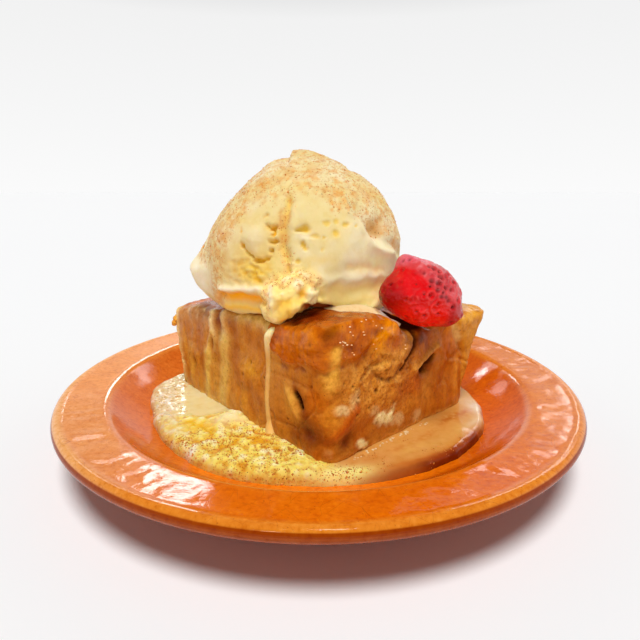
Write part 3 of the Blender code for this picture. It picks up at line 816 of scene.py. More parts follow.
def bread_left_face(bread):
    p, z, lay, lift = bread.p, bread.z, bread.lay, bread.lift
    on, line, face = bread.left.on, bread.left.line, bread.left.share
    streak, broad = rough(p * [1, 1, 0.18], 3.4, 3, 111), rough(p * [1, 1, 0.35], 8, 2, 113)
    lay(face, side(188, 114, 28), 0.85)
    lay(face, HONEY, 0.7, 0, 1.5, streak)
    lay(face, side(166, 88, 20), 0.65, -0.1, -1.6, streak)
    lay(face, GOLD, 0.4, 0.1, 1.5, broad)
    lift += face * (0.26 * streak + 0.3 * broad)
    bread.crumb *= 1 - 0.7 * face
    bread.shine(face, 0.55)
    bread.shine(on((4, 31.9), (5, 5)), 0.9)
    bread.spots(on, [
        (37.9, 41.4, 7, 5, 0, side(190, 116, 36), 0.8), (36.8, 31.3, 3.6, 3.2, 0, side(214, 150, 34), 0.95),
        (40, 26, 5, 4, 0, side(176, 98, 24), 0.6), (30, 22, 6, 7, 0, side(176, 100, 28), 0.7),
        (46, 34, 2.6, 11, 0, side(172, 100, 34), 0.7), (20, 31, 6, 5, 0, side(190, 118, 46), 0.8),
        (16.5, 26.5, 3.5, 5, -24, HONEY, 0.9), (21, 22, 4, 5, 0, side(174, 100, 30), 0.6),
        (4, 31.9, 4.5, 4.5, 0, side(194, 100, 10), 0.9), (5.5, 26, 4.5, 3, 0, side(190, 102, 14), 0.6),
        # painted shade: the dark patch low by the front corner, sunk below as well
        (7.6, 20.2, 6.4, 4.4, 0, side(98, 28, 3), 0.95), (13.5, 17.8, 4, 2.6, -20, side(132, 60, 10), 0.8),
        (2.6, 21.5, 2.6, 4, 0, side(150, 66, 8), 0.6), (4, 14.6, 3.4, 1.8, 0, side(190, 96, 14), 0.8),
    ])
    lift -= 0.9 * on((7.8, 19.8), (3.6, 2.2))
    corner = bell(np.hypot(p[:, 0] - 3.4, p[:, 1] + 54), 2.8)
    lay(corner * bell(z - 40, 5.5), GOLD, 0.9)
    lay(corner * bell(z - 27, 5), side(206, 130, 30), 0.6)
    # a slit, sunk and painted dark as shade
    bread.hollow(line([(12.9, 31), (11.4, 29.6), (10.8, 27.9)], 0.95), 1.8, 1, 2.6)
    lay(line([(13.4, 32.6), (9.6, 29.6), (9.6, 25)], 1.5), side(122, 46, 5), 0.8)
    flake = on((14.6, 28.2), (1.7, 4.2), -24)
    lift += flake
    lay(np.clip(flake * 1.5, 0, 1), side(224, 166, 66), 0.95)
    # small pits, sunk and painted dark as shade
    for centre in (37.3, 34.2), (42.6, 25.2), (41.5, 29), (17.5, 21.5), (6.6, 35.2), (29.8, 31):
        bread.hollow(on(centre, (0.45, 0.4), loose=False), 0.6, 0.75)
    # soft folds of cream that has run down the left part of the face
    for width, strength, colour, path in [
        (1.7, 0.95, (234, 202, 136), [(61, 50), (60.9, 45.3), (59.6, 39.5)]),
        (0.9, 0.8, (220, 176, 92), [(59.6, 39.5), (58.6, 36.5), (59, 33)]),
        (0.9, 0.8, (218, 172, 86), [(60.5, 39), (63.4, 35.5), (64.2, 30)]),
        (2, 0.9, (218, 178, 84), [(64.2, 31), (66, 22), (67.3, 12)]),
        (1.9, 0.9, (224, 184, 118), [(53, 48), (53.1, 43.2), (53.3, 37)]),
        (3, 0.85, (220, 180, 88), [(53.3, 38), (54.2, 30), (55, 22), (56.6, 12)]),
        (1.6, 0.55, (206, 154, 62), [(60.5, 30), (60.6, 22), (61.2, 12)]),
        (1.2, 0.45, (198, 140, 74), [(74, 44), (74.6, 36), (75, 27)]),
        (1.8, 0.6, (206, 152, 60), [(77, 31), (78.5, 24), (78, 17)]),
        (1.3, 0.45, (196, 134, 46), [(72, 28), (72.6, 21), (73, 12)]),
        (2.2, 0.95, (230, 188, 114), [(86.8, 46), (87.4, 32), (86.4, 20), (86, 12)]),
    ]:
        run = line(path, width, loose=True)
        lay(np.clip(run * 1.35, 0, 1), side(*colour), strength)
        lift += 0.55 * run * strength
        bread.shine(run, 0.8)
    for path in [(30.5, 51.5), (27, 48.6), (24.6, 45.5)], [(21, 50.5), (22.4, 48.6), (23.6, 45.5)]:
        lay(line(path, 1), side(232, 200, 130), 0.85)
    # the bread is creamy beside the running thread
    lay(line([(24.5, 46.5), (26.9, 41), (27.6, 34), (27.7, 24), (27, 12.5)], 2.3), side(206, 150, 72), 0.6)
    # painted shade: an arch, a spot and a slot sunk into the face and painted dark
    arch = on((61, 35.2), (1.1, 1.9))
    lift -= 0.9 * arch + 0.6 * on((55.6, 45), (2, 4))
    lay(arch, side(128, 66, 20), 0.9)
    bread.hollow(on((75.3, 24), (0.9, 4), 14), 0.9, 0.35)
    bread.spots(on, [
        (70, 36, 4, 7, 0, side(172, 98, 34), 0.6), (68, 27, 1.6, 6, 0, side(160, 84, 20), 0.6),
        (58, 33, 1.6, 6, 0, side(160, 92, 36), 0.5), (55.6, 45, 2.3, 4.4, 0, side(118, 40, 5), 0.95),
        (67, 46.5, 2.2, 3.4, 0, side(150, 88, 52), 0.75),
    ])
    grey = np.clip(on((72, 45.5), (9, 4.4)) * 1.2, 0, 1)
    lay(grey, side(172, 120, 72), 0.7)
    lay(grey, side(232, 200, 138), 0.6, 0, 1.8, rough(p * [1, 1, 0.3], 2.6, 2, 95))
    film = np.clip(on((40, 49.4), (12, 3)) + on((29, 50), (6, 2.4)), 0, 1)
    lay(film, side(216, 170, 82), 0.85)
    lift += 0.3 * grey + 0.35 * film
    bread.shine(film + grey, 0.9)
    bread.spots(on, [(47.5, 44, 1.6, 3.4, 0, side(150, 82, 30), 0.6), (50.3, 42, 1, 4, 0, SAND, 0.5)])


def bread_damp_base(bread):
    z, right, left, lay = bread.z, bread.right.share, bread.left.share, bread.lay
    wet = ease((15.0 + 1.2 * rough(bread.p, 6, 2, 97) - z) / 2.5)
    lay(wet * right, loaf(208, 140, 64), 0.5)
    lay(wet * left, loaf(206, 144, 62), 0.5)
    # cream creeps up the foot of the bread unevenly
    creep = ease((POOL_LEVEL + 1.6 + 2.6 * rough(bread.p, 4.5, 3, 98) - z) / 1.8)
    lay(creep * right * ease((bread.s - 8) / 6), loaf(216, 150, 78), 0.8)
    lay(creep * left * ease((bread.t - 12) / 6), side(220, 170, 84), 0.7)
    bread.shine(wet, 0.9)
    # the far sides are plainer: baked brown at the edge of the dish
    lay(bread.back, RUST, 0.35)
    lay(bread.back, HONEY, 0.5, 0.2, 1.5, 9, 3, 115)


def bread_look():
    look = Look("soaked_bread")
    pit, crumb, gloss, matt = (look.value(name) for name in ("pit", "crumb", "gloss", "matt"))
    body = look.mottled(look.painted(), 2.6, (0.77, 0.70, 0.46), (1.13, 1.24, 1.32), 5)
    fine = look.mottled(body, 0.8, (0.64, 0.52, 0.36), (1.20, 1.32, 1.6))
    body = look.mix(look.plus(look.times(crumb, 0.6), 0.4), body, fine)
    patchy = look.between(look.noise(6, 2), 0.42, 0.60)
    body = look.specks(body, 1.5, 0.17, (104, 36, 6), look.times(patchy, 0.7), 0.6)
    body = look.specks(body, 0.8, 0.24, (120, 50, 10), look.plus(look.times(crumb, 0.6), 0.1), 0.45)
    wave = look.maths("SUBTRACT", look.noise(2), 0.5)
    shine = look.plus(look.times(gloss, -0.42), look.times(wave, 0.3))
    dull = look.times(look.maths("MAXIMUM", matt, look.times(pit, 0.9)), -0.36)
    pores = look.plus(look.noise(1, 4, 0.65), look.between(look.cells(0.9), 0.0, 0.35, 0.0, 0.4))
    lumps = look.bump(look.noise(2.8, 4, 0.6), 0.50, 0.6)
    return look.wear(
        # painted shade: hollows, cracks and holes are darkened nearly to black
        Base_Color=look.mix(look.times(pit, 0.96), body, srgb(40, 8, 2)),
        Roughness=look.maths("MAXIMUM", look.plus(shine, 0.60), 0.12),
        IOR=1.40,
        Specular_Tint=(1.0, 0.68, 0.32),
        Specular_IOR_Level=look.plus(dull, 0.36),
        Subsurface_Weight=0.08,
        Subsurface_Radius=(1.0, 0.45, 0.12),
        Subsurface_Scale=0.0012,
        Normal=look.bump(look.times(pores, look.plus(look.times(crumb, 0.7), 0.35)), 0.34, 0.7, lumps),
    )


def make_pudding():
    pudding = fine_copy("bread_pudding", "soaked_bread_pudding", 0.56, 28)
    p, n = places(pudding), normals(pudding)
    bread = Bread(p, n)
    for part in bread_all_over, bread_right_face, bread_left_face, bread_crust, bread_damp_base:
        part(bread)
    lift = bread.lift * ease((p[:, 2] - 9.4) / 2.5)
    put(pudding, p + n * lift[:, None] + bread.shift)
    note(pudding, pit=bread.pit, crumb=bread.crumb, gloss=bread.gloss, matt=bread.matt)
    bread.colour(pudding)
    finish_piece(pudding, bread_look(), "pudding", "bread_pudding")
    return pudding


# Ice cream

# the lower edge of the dusty cap: x and height
CAP_EDGE = [(-44, 66), (-36, 62), (-30, 70), (-27, 77.3), (-24, 82.5), (-18.5, 84.4), (-13, 83), (-7.4, 85.6)]
CAP_EDGE += [(-5, 86.4), (1.3, 82.4), (5.7, 81.4), (7.8, 84.4), (13.9, 78.4), (15.5, 75), (19, 74), (24, 69), (30, 64)]

VANILLA = seen(238, 215, 152, 1.16)
PALE_VANILLA = seen(243, 230, 192, 1.10)
YELLOW_VANILLA = seen(232, 188, 58, 1.03)
DEEP_VANILLA = seen(222, 162, 10, 0.95)
MILK = seen(249, 238, 208, 1.0)


class Scoop(Skin):
    """The ice cream's skin, its dust and its melting, wet places."""

    def __init__(self, p, n):
        super().__init__(p, VANILLA)
        self.x, self.y, self.z = p.T
        loose = self.x + 0.8 * rough(p, 3.2, 2, 5), self.z + 0.8 * rough(p, 3.2, 2, 7)
        self.face = Face(ease((-n[:, 1] - 0.12) / 0.3), (self.x, self.z), loose, True)
        self.dust, self.wet = np.zeros(len(p)), np.full(len(p), 0.25)

    def sink(self, mask, depth, colour=DEEP_VANILLA, strength=0.9):
        # by default it lays deep yellow, partly the ice cream's own yellow and partly painted shade in the dimple
        self.lift -= depth * mask
        self.lay(np.clip(mask * 1.3 - 0.12, 0, 1), colour, strength)

    def sprinkle(self, mask, amount=1.0):
        self.dust = np.maximum(self.dust, amount * np.clip(mask, 0, 1))


def scoop_all_over(scoop):
    p, lay = scoop.p, scoop.lay
    scoop.lift += 0.55 * rough(p, 12, 2, 11) + 0.26 * rough(p, 4.5, 3, 13)
    lay(1, PALE_VANILLA, 0.6, 0.3, 1.4, 9, 3, 35)
    lay(1, YELLOW_VANILLA, 0.25, -0.1, -1.4, 7, 3, 37)
    lay(scoop.face.share * ease((scoop.x - 4) / 8) * ease((84 - scoop.z) / 6), PALE_VANILLA, 0.6)


def scoop_left_lobe(scoop):
    """A round bump ringed by torn pits, with rough yellow ice below it."""
    p, on, line, sink, lay, lift = scoop.p, scoop.face.on, scoop.face.line, scoop.sink, scoop.lay, scoop.lift
    lay(on((-19.5, 70), (9, 11)), seen(234, 202, 118, 1.15), 0.6)
    sink(on((-18.5, 71), (8, 9.5)), 0.8, YELLOW_VANILLA, 0.2)
    scoop.mark(on((-19.2, 74.6), (3.8, 4.2)), 1.5, PALE_VANILLA, 0.6)
    uneven = 0.75 + 0.6 * rough(p, 1.7, 2, 39)
    for x, z, wide, high, turn, depth in [
        (-15.2, 80.4, 1.8, 1.4, -30, 1.2), (-13.9, 77.4, 2.2, 1.3, -10, 1.9), (-13.6, 75.6, 1.3, 0.9, 20, 1),
        (-13.2, 73.4, 2.2, 1, -12, 1.6), (-14.1, 70.5, 1.9, 1, 8, 1.8), (-15.3, 69, 2, 0.8, 24, 1.4),
        (-18.6, 68, 2.6, 1, 6, 1.8), (-21.6, 69.6, 1.9, 1, -38, 1.6), (-22.9, 71.8, 1.1, 1.4, 10, 1.4),
        (-23.6, 76.4, 0.7, 1.5, 0, 0.4),
    ]:
        sink(ease(on((x, z), (wide, high), turn) * uneven * 2.2 - 0.55), depth)
    # rough yellow ice below: deep yellow where its shreds lie low and pale where they stand up, partly painted shade
    # and light
    torn = on((-20.6, 63.8), (8, 4.4))
    shreds = rough(p * [1, 1, 1.7], 2.2, 3, 15)
    lift += torn * (1.1 * shreds - 0.5)
    lay(torn, YELLOW_VANILLA, 0.85)
    lay(torn, DEEP_VANILLA, 0.85, 0.1, -1.8, shreds)
    lay(torn, VANILLA, 0.6, -0.1, 1.8, shreds)
    # the ledge under it, raised and painted pale as a highlight, and the undercut below, sunk and painted yellow-orange
    # as shade
    ledge = line([(-31.5, 57.4), (-27.5, 58), (-22, 59), (-17.4, 59.8)], 1)
    lift += 1.2 * ledge
    sink(line([(-32, 54.6), (-27, 55), (-22, 55.4), (-17.6, 56.2)], 1.9), 1.8, seen(226, 156, 2, 0.80), 1)
    lay(line([(-30, 51.6), (-24, 51.8), (-18, 52.4)], 1.4), seen(234, 188, 70, 0.8), 0.9)
    lay(ledge, MILK, 0.75)


def scoop_middle(scoop):
    """The ridge between the lobes, the dusty groove beside it, and small holes."""
    on, line = scoop.face.on, scoop.face.line
    scoop.lift += 1.2 * line([(-6.4, 82), (-6.8, 76), (-7, 70), (-6.6, 65)], 1.9)
    scoop.sink(line([(-8.6, 86), (-9.6, 81), (-10.6, 76), (-10.4, 72), (-8.6, 68.5)], 1.2), 1.3, YELLOW_VANILLA, 0.5)
    scoop.sprinkle(line([(-8, 88), (-9.6, 82), (-10.8, 77), (-10.4, 72), (-8.4, 68)], 1.8))
    for x, z, wide, high, depth in [
        (-5, 77.2, 2.4, 1, 1.3), (-4.2, 72.4, 0.9, 1.5, 1.1), (-1.6, 75.4, 1.7, 0.7, 0.5), (1.4, 75, 0.9, 0.5, 0.4),
        (7.7, 78.2, 0.9, 0.7, 0.6), (5.2, 75.9, 0.8, 1.1, 0.6), (2.4, 78.8, 1.2, 0.7, 0.4), (5, 79.4, 0.9, 0.6, 0.4),
        (-8.4, 66.6, 0.8, 1.1, 0.8), (-5.8, 68, 0.8, 0.8, 0.6), (1, 71.5, 0.6, 0.5, 0.4), (10.5, 77.5, 0.7, 0.5, 0.4),
    ]:
        scoop.sink(ease(on((x, z), (wide, high)) * 1.8 - 0.35), depth, YELLOW_VANILLA, 0.5 + 0.3 * depth)
    scoop.lay(on((-4.4, 75), (2.4, 0.8)), MILK, 0.5)
    scoop.lay(on((0.5, 68.5), (3.5, 1.4)), YELLOW_VANILLA, 0.35)


def scoop_right_lobe(scoop):
    """Its edge steps down to the berry, with a dimple in the shell above it and soft shelves below."""
    on, line, sink, lay, lift = scoop.face.on, scoop.face.line, scoop.sink, scoop.lay, scoop.lift
    x, z = scoop.x, scoop.z
    lift += 0.9 * line([(7.4, 85.4), (9, 81.5), (12, 78.8), (14.2, 75.4), (15.6, 73), (18.4, 70.8), (23.8, 68.2)], 1.1)
    away, share, hand = along_path(x, z, [(7.4, 85.4), (12, 78.8), (15.6, 73), (23.8, 68.2)])
    lift -= 1.2 * scoop.face.share * bell(hand * away - 2.4, 1.7) * ease(share * 3)
    # the dimple's brownish yellow is partly painted shade, and a painted highlight runs along the step's edge
    sink(on((18.6, 76.4), (2.6, 3), 20), 2.2, seen(216, 158, 72, 1.1), 0.85)
    lay(on((18, 73.2), (4, 1.3), -20), MILK, 0.6)
    # painted light: the hollow below the step and the face under it are painted paler to offset their shade
    sink(on((19.6, 66.4), (4.2, 2.2), -20), 0.7, seen(238, 206, 148, 0.62), 0.85)
    lay(on((21.5, 62), (3.5, 6.5)), seen(242, 216, 164, 0.64), 0.75)
    lift += 0.8 * on((4, 72), (7, 6))
    # soft shelves: the two sunk bands painted yellower as shade, the raised band painted pale as lit, and a raised
    # milky rim at the foot
    for path, width, rise, colour, strength in [
        ([(9, 66), (15, 65.2), (21, 63.6)], 1.3, -0.6, seen(236, 200, 130, 0.8), 0.6),
        ([(-5, 64.2), (2, 62.9), (10, 62.6), (18, 62.2)], 1.5, 0.6, PALE_VANILLA, 0.6),
        ([(2, 58.6), (8, 58.4), (15, 58.6), (21, 58.6)], 2.2, -0.5, seen(238, 192, 116, 0.74), 0.85),
        ([(1, 53), (9, 52.2), (16, 52.8), (21, 55)], 1, 0.8, MILK, 0.7),
    ]:
        scoop.mark(line(path, width), rise, colour, strength)
    # painted light: the lowest shelf is raised and painted paler to offset the shade under it
    scoop.mark(on((9, 54.6), (15, 3.2)), 1.1, seen(240, 192, 112, 0.66), 0.9)
    lay(bell(np.hypot(x + 42, z - 61), 6), MILK, 0.75)


def scoop_broken_lump(scoop):
    """The lump that has come away at the front, hollow in the middle."""
    p, on, lay, lift, (x, y, z) = scoop.p, scoop.face.on, scoop.lay, scoop.lift, scoop.p.T
    away = np.sqrt(((x + 7.6) / 1.35) ** 2 + ((y + 40) / 1.2) ** 2 + (z - 58.4) ** 2)
    lump = ease((9.5 - away) / 3) * ease((-y - 31) / 3)
    crumble = rough(p, 2.8, 3, 19)
    lift += lump * (1.2 * crumble + 0.50 * rough(p, 1.3, 2, 23))
    lay(lump, seen(243, 217, 128, 0.92), 0.7)
    lay(lump, MILK, 0.6, 0, 1.6, crumble)
    lay(lump * ease((60 - z) / 4) * ease((x + 13) / 3), seen(240, 206, 98, 0.90), 0.6)
    ring = [(-18.6, 59.5), (-15, 63.6), (-9.4, 65.4), (-4, 65), (-0.2, 62.4), (1.6, 57.6)]
    lift -= scoop.face.line(ring, 1, loose=False)
    lay(on((-1.4, 59), (2.4, 3.4)), seen(250, 232, 184, 0.96), 0.85)
    lay(on((-14.2, 59), (1.6, 3.4)), MILK, 0.7)
    scoop.sink(on((-4.6, 59.6), (1.2, 2)), 1.2, seen(230, 170, 30, 0.9))
    scoop.sink(on((-9.6, 57.2), (2.6, 1.2), 20), 0.8, seen(240, 190, 60, 0.9), 0.8)
    lay(on((-9, 53.6), (3.4, 3.8)), seen(236, 190, 74, 0.84), 0.85)
    # the shadowed gap beneath its right half, where the crust shows: the ice cream there is pushed back and painted
    # dark brown as shade
    gap = ease((x + 5.6) / 2) * ease((5.5 - x) / 3) * ease((56.6 - 0.25 * (x + 2) - z) / 1.6) * ease((-y - 24) / 5)
    scoop.shift[:, 1] += 5 * gap
    lay(gap, seen(160, 64, 8, 0.6), 0.95)
    # its left half hangs lower
    scoop.shift[:, 2] -= 1.9 * bell(x + 11, 3.2) * ease((57.5 - z) / 4) * ease((-y - 34) / 4)
    scoop.sprinkle(lump * ease((z - 60.2) / 2.5))
    scoop.sprinkle(lump * ease((-13 - x) / 3), 0.9)


def scoop_top_and_dust(scoop):
    p, face, lift, shift, sprinkle, lay = scoop.p, scoop.face, scoop.lift, scoop.shift, scoop.sprinkle, scoop.lay
    x, y, z = p.T
    shift[:, 2] -= 1.7 * ease(-8.6 - x) * bell(x + 9.6, 3.4) * bell(y + 5, 12) * (z > 88)
    shift[:, 0] -= 0.9 * bell(z - 62.5, 2.4) * ease((-36 - x) / 4)
    lift -= 0.7 * bell(np.hypot(x - 10.6, z - 95.5), 2) * (z > 88)
    edge = np.where(face.share > 0.05, np.interp(x, *zip(*CAP_EDGE)), 72 + 4 * rough(p, 10, 2, 25))
    patchy = rough(p, 5, 3, 27)
    sprinkle(ease((z - edge + 1.5 + 3 * patchy) / 5) * (0.55 + 0.5 * ease(0.5 + patchy)))
    sprinkle((1 - face.share) * ease((z - 62 + 8 * patchy) / 14) * 0.8)
    away, _, _ = along_path(x, z, [(-33.2, 50), (-33, 60), (-31.4, 70), (-27.5, 78), (-20, 88)])
    left_band = bell(away, 2.7) * (y < 6)
    sprinkle(left_band * (0.75 + 0.4 * patchy))
    sprinkle(face.line([(10, 87), (8.6, 82.6), (12.4, 80), (15.2, 76.2), (18, 73)], 1.4), 0.85)
    right_band = face.line([(17, 88), (24, 80), (27.5, 71)], 2.6)
    sprinkle(right_band, 0.95)
    sprinkle(face.line([(-24, 88), (-13, 95), (-6, 98)], 3), 0.7)
    lift += ease((z - edge) / 3) * (0.20 * rough(p, 1.5, 2, 29) + 0.14 * rough(p, 3, 2, 33))
    dusted = ease((scoop.dust - 0.12) / 0.6)
    lay(dusted, seen(226, 166, 88, 1.10), 0.5, 0.20, 1.7, 3, 3, 43)
    lay(dusted, seen(234, 168, 84, 1.12), 0.65, -0.15, 2.4, 1.3, 3, 45)
    lay(dusted, seen(206, 126, 50, 1.1), 0.5, -0.50, 2.6, 1, 2, 46)
    lay(np.clip(left_band + right_band, 0, 1), seen(218, 148, 58, 1.08), 0.6, 0.25, 2, 1.5, 3, 47)
    scoop.wet = np.clip(scoop.wet + 0.5 * ease((58 - z) / 6) - 0.5 * scoop.dust, 0, 1)


def scoop_look():
    look = Look("vanilla_ice_cream")
    dust, wet = look.value("dust"), look.value("wet")
    body = look.mottled(look.painted(), 4, (0.97, 0.93, 0.84), (1.02, 1.03, 1.08))
    spread = look.between(dust, 0.08, 0.60, 0.0, 0.95)
    clouds = look.between(look.noise(2.4, 3, 0.6), 0.38, 0.58)
    body = look.specks(body, 0.95, 0.26, (206, 130, 50), look.times(spread, clouds), 0.7)
    body = look.specks(body, 0.62, 0.24, (158, 80, 20), spread, 0.45)
    body = look.specks(body, 1.5, 0.13, (92, 38, 10), spread, 0.45)
    normal = look.bump(look.plus(look.noise(1.1, 3, 0.6), look.times(look.noise(3, 2), 0.8)), 0.22, 0.45)
    return look.wear(
        Base_Color=body,
        Roughness=look.plus(look.times(wet, -0.34), 0.58),
        IOR=1.36,
        Specular_IOR_Level=0.4,
        Subsurface_Weight=0.4,
        Subsurface_Radius=(1.0, 0.66, 0.26),
        Subsurface_Scale=0.0012,
        Normal=look.bump(look.noise(0.35, 2), 0.05, 0.35, normal),
    )


def make_ice_cream():
    made = fine_copy("ice_cream", "vanilla_scoop", 0.52, 40)
    p, n = places(made), normals(made)
    scoop = Scoop(p, n)
    for part in [
        scoop_all_over, scoop_left_lobe, scoop_middle, scoop_right_lobe, scoop_broken_lump, scoop_top_and_dust,
    ]:
        part(scoop)
    lift = scoop.lift * ease((p[:, 2] - 47) / 4)
    put(made, p + n * lift[:, None] + scoop.shift)
    note(made, dust=scoop.dust, wet=scoop.wet)
    scoop.colour(made)
    finish_piece(made, scoop_look(), "ice_cream", "ice_cream")
    return made, scoop.dust


# Strawberry

SKIN_WAY = Vector((0.20, -0.80, 0.36)).normalized()
BERRY_RIGHT = Vector((0, 0, 1)).cross(SKIN_WAY).normalized()
BERRY_UP = SKIN_WAY.cross(BERRY_RIGHT)
BERRY_FRAME = np.array([BERRY_RIGHT, BERRY_UP, SKIN_WAY])  # rows
BERRY_TIP = np.array([-0.93, -0.36, 0.0])


def berry_look():
    look = Look("strawberry_skin")
    body = look.mottled(look.painted(), 2.4, (0.90, 0.7, 0.75), (1.05, 1.3, 1.3))
    height = look.plus(look.noise(1.3, 3, 0.6), look.times(look.noise(4, 2), 0.6))
    return look.wear(
        # painted shade: the seed pits are darkened
        Base_Color=look.mix(look.times(look.value("seat"), 0.8), body, srgb(104, 2, 8)),
        Roughness=0.15,
        IOR=1.42,
        Specular_IOR_Level=0.5,
        Subsurface_Weight=0.25,
        Subsurface_Radius=(1.0, 0.15, 0.1),
        Subsurface_Scale=0.0018,
        Normal=look.bump(height, 0.46, 0.8),
    )


def seed_look():
    look = Look("strawberry_seed")
    body = look.mix(look.between(look.noise(2, 2), 0.42, 0.58), srgb(112, 6, 10), srgb(176, 34, 28))
    return look.wear(Base_Color=body, Roughness=0.42, IOR=1.45, Specular_IOR_Level=0.25)


def seed_ways():
    """Seeds in staggered, uneven rows round the berry, from its tip at the left to its hulled end at the right."""
    out = []
    across = np.array([0.36, -0.93, 0.0])
    for row, back in enumerate(np.arange(0.18, 2.75, 0.31)):
        count = max(1, round(math.sin(back) * math.pi / 0.36))
        for k in range(count + 1):
            around = math.pi * (k + (0.5 if row % 2 else 0.0)) / count + 0.09 * RNG.standard_normal()
            lean = back + 0.06 * RNG.standard_normal()
            ring = across * math.cos(around) + np.array([0, 0, 1.0]) * math.sin(around)
            way = BERRY_TIP * math.cos(lean) + math.sin(lean) * ring
            if way[2] > -0.15 and RNG.random() > 0.10:
                out.append(way)
    return out


def make_strawberry():
    berry = fine_copy("strawberry", "strawberry_half", 0.32, 14)
    p, n = places(berry), normals(berry)
    cast = surface_of(berry)
    seeds = []
    for way in seed_ways():
        world = Vector(way @ BERRY_FRAME)
        hit, normal = cast(Vector(BERRY) + world * OUTSIDE, -world)
        if hit is not None and normal.dot(SKIN_WAY) > -0.05:
            seeds.append((np.array(hit), np.array(normal)))
    facing = n @ np.array(SKIN_WAY)
    skin = ease((facing + 0.25) / 0.3)
    across, up, _ = ((p - BERRY) @ BERRY_FRAME.T).T
    lift = 0.45 * rough(p, 6, 2, 41) + 0.26 * rough(p, 2.2, 3, 42)
    seat, rings = np.zeros(len(p)), np.zeros(len(p))
    for place, _ in seeds:
        near = np.linalg.norm(p - place, axis=1)
        # the pits are shallow low down and sharper on the shoulder
        deep = 0.30 + 0.30 * float(ease((((place - BERRY) @ BERRY_FRAME.T)[0] + 1) / 8))
        lift += 0.16 * bell(near - 1.15, 0.40) - deep * bell(near, 0.55)
        # painted shade: the seed's pit is darkened
        seat = np.maximum(seat, bell(near, 0.5))
    # dark pits on the shoulder, darkened with painted shade, ring-shaped dents low down, and a nick where the hull was
    # cut out
    pits = [(-0.9, 1.3), (0.9, 0.6), (0.7, -1.6), (3.6, -0.8), (1.9, -3.5), (3.3, -3.7), (4, -4.7)]
    for u, v in [*pits, (0.8, 5.4), (2.6, 2.2)]:
        near = np.hypot((across - u) * 0.85, up - v)
        lift += 0.2 * bell(near - 1, 0.4) - 0.5 * bell(near, 0.6)
        seat = np.maximum(seat, 1.1 * bell(near, 0.62))
    broken = ease(0.8 + 1.6 * rough(p, 1.8, 2, 50))
    dents = [(-1.5, -2.8, 1.35), (-3.8, -5.5, 1.6), (0.2, -6.5, 1.4), (-6.7, -3.6, 1.3), (-2.8, -8.4, 1), (2.2, 4, 0.9)]
    for u, v, size in dents:
        near = np.hypot(across - u, up - v)
        ring = bell(near - size, 0.32) * broken
        lift += 0.28 * ring - 0.30 * bell(near, 0.8 * size)
        rings = np.maximum(rings, ring)
    lift *= skin
    lift -= 0.9 * bell(np.hypot(across - 11.8, up - 0.6), 1.1)
    put(berry, p + n * lift[:, None])

    paint = Skin(p, seen(206, 8, 14, 0.96))
    lay = paint.lay
    wander = 1.3 * rough(p, 3, 3, 43)
    lay(1, seen(222, 20, 22, 0.95), 0.6, 0.1, 1.4, 5, 3, 45)
    shoulder = ease((across + up * 0.67 + 1.4 + 0.5 * wander) / 2.0 + 0.5)
    lay(shoulder, seen(208, 70, 72), 0.92)
    lay(shoulder, seen(186, 38, 46, 1.1), 0.6, 0.2, 2, 1.8, 3, 47)
    lay(shoulder, seen(224, 112, 116, 1.1), 0.5, -0.2, 2.4, 1.3, 3, 48)
    lay(ease((up - 7 + 0.7 * wander) / 2.2), seen(222, 96, 112), 0.85)
    left = ease((-across - 7.5 + wander) / 5)
    lay(left, seen(150, 4, 8, 0.85), 0.9)
    lay(ease((-across - 13 + 0.5 * wander) / 1.4), srgb(60, 2, 8), 0.85, 0.3, 1.6, 1.6, 2, 49)
    lay(ease((-up - 3 + wander) / 5) * (1 - left), seen(214, 18, 10, 0.78), 0.8)
    lay(ease((across - 3.6) / 2.4) * ease((-3.8 - up) / 2.4), seen(178, 32, 36), 0.85)
    # painted highlight: the rims of the ring-shaped dents are painted light pink
    lay(rings * skin, seen(240, 76, 70), 0.40)
    lay(1 - ease((facing + 0.65) / 0.3), seen(236, 120, 104), 0.8)
    paint.colour(berry)
    note(berry, seat=np.clip(seat, 0, 1) * skin * (0.2 + 0.7 * shoulder))
    finish_piece(berry, berry_look(), "strawberry", "strawberry")
    return berry, make_seeds(seeds)


def make_seeds(seeds):
    """Flat drops set into the skin, pointing at the berry's tip."""
    work = bmesh.new()
    tip_x, tip_y, _ = BERRY_TIP.tolist()
    along = (tip_x * BERRY_RIGHT + tip_y * BERRY_UP).normalized()
    for place, normal in seeds:
        out = Vector(normal).normalized()
        length = (along - out * along.dot(out)).normalized()
        turn = Matrix((length, out.cross(length), out)).transposed()
        made = bmesh.ops.create_icosphere(work, subdivisions=2, radius=1.0)
        size = 0.52 + 0.10 * RNG.standard_normal()
        for vertex in made["verts"]:
            x, y, z = vertex.co
            drop = Vector((x * 0.70, y * 0.40 * (1.0 - 0.30 * x), z * 0.26)) * size
            vertex.co = (turn @ drop + Vector(place) - out * 0.30) * MM
    made = from_work("strawberry_seeds", work)
    finish_piece(made, seed_look(), "strawberry")
    return made


# Melted cream


def pooled(red, green, blue):
    return seen(red, green, blue, 1.06)


def off_angle(angle, centre):
    """Degrees from a direction, the short way round."""
    return (angle - centre + 180) % 360 - 180


def pool_reach(angle):
    """How far the pool runs out in a direction, in degrees."""
    bays = [(175, 0.085, 15), (240, 0.014, 14), (275, -0.028, 16), (327, 0.020, 22), (8, -0.04, 13)]
    return POOL_RADIUS * (1 + sum(amount * bell(off_angle(angle, centre), width) for centre, amount, width in bays))


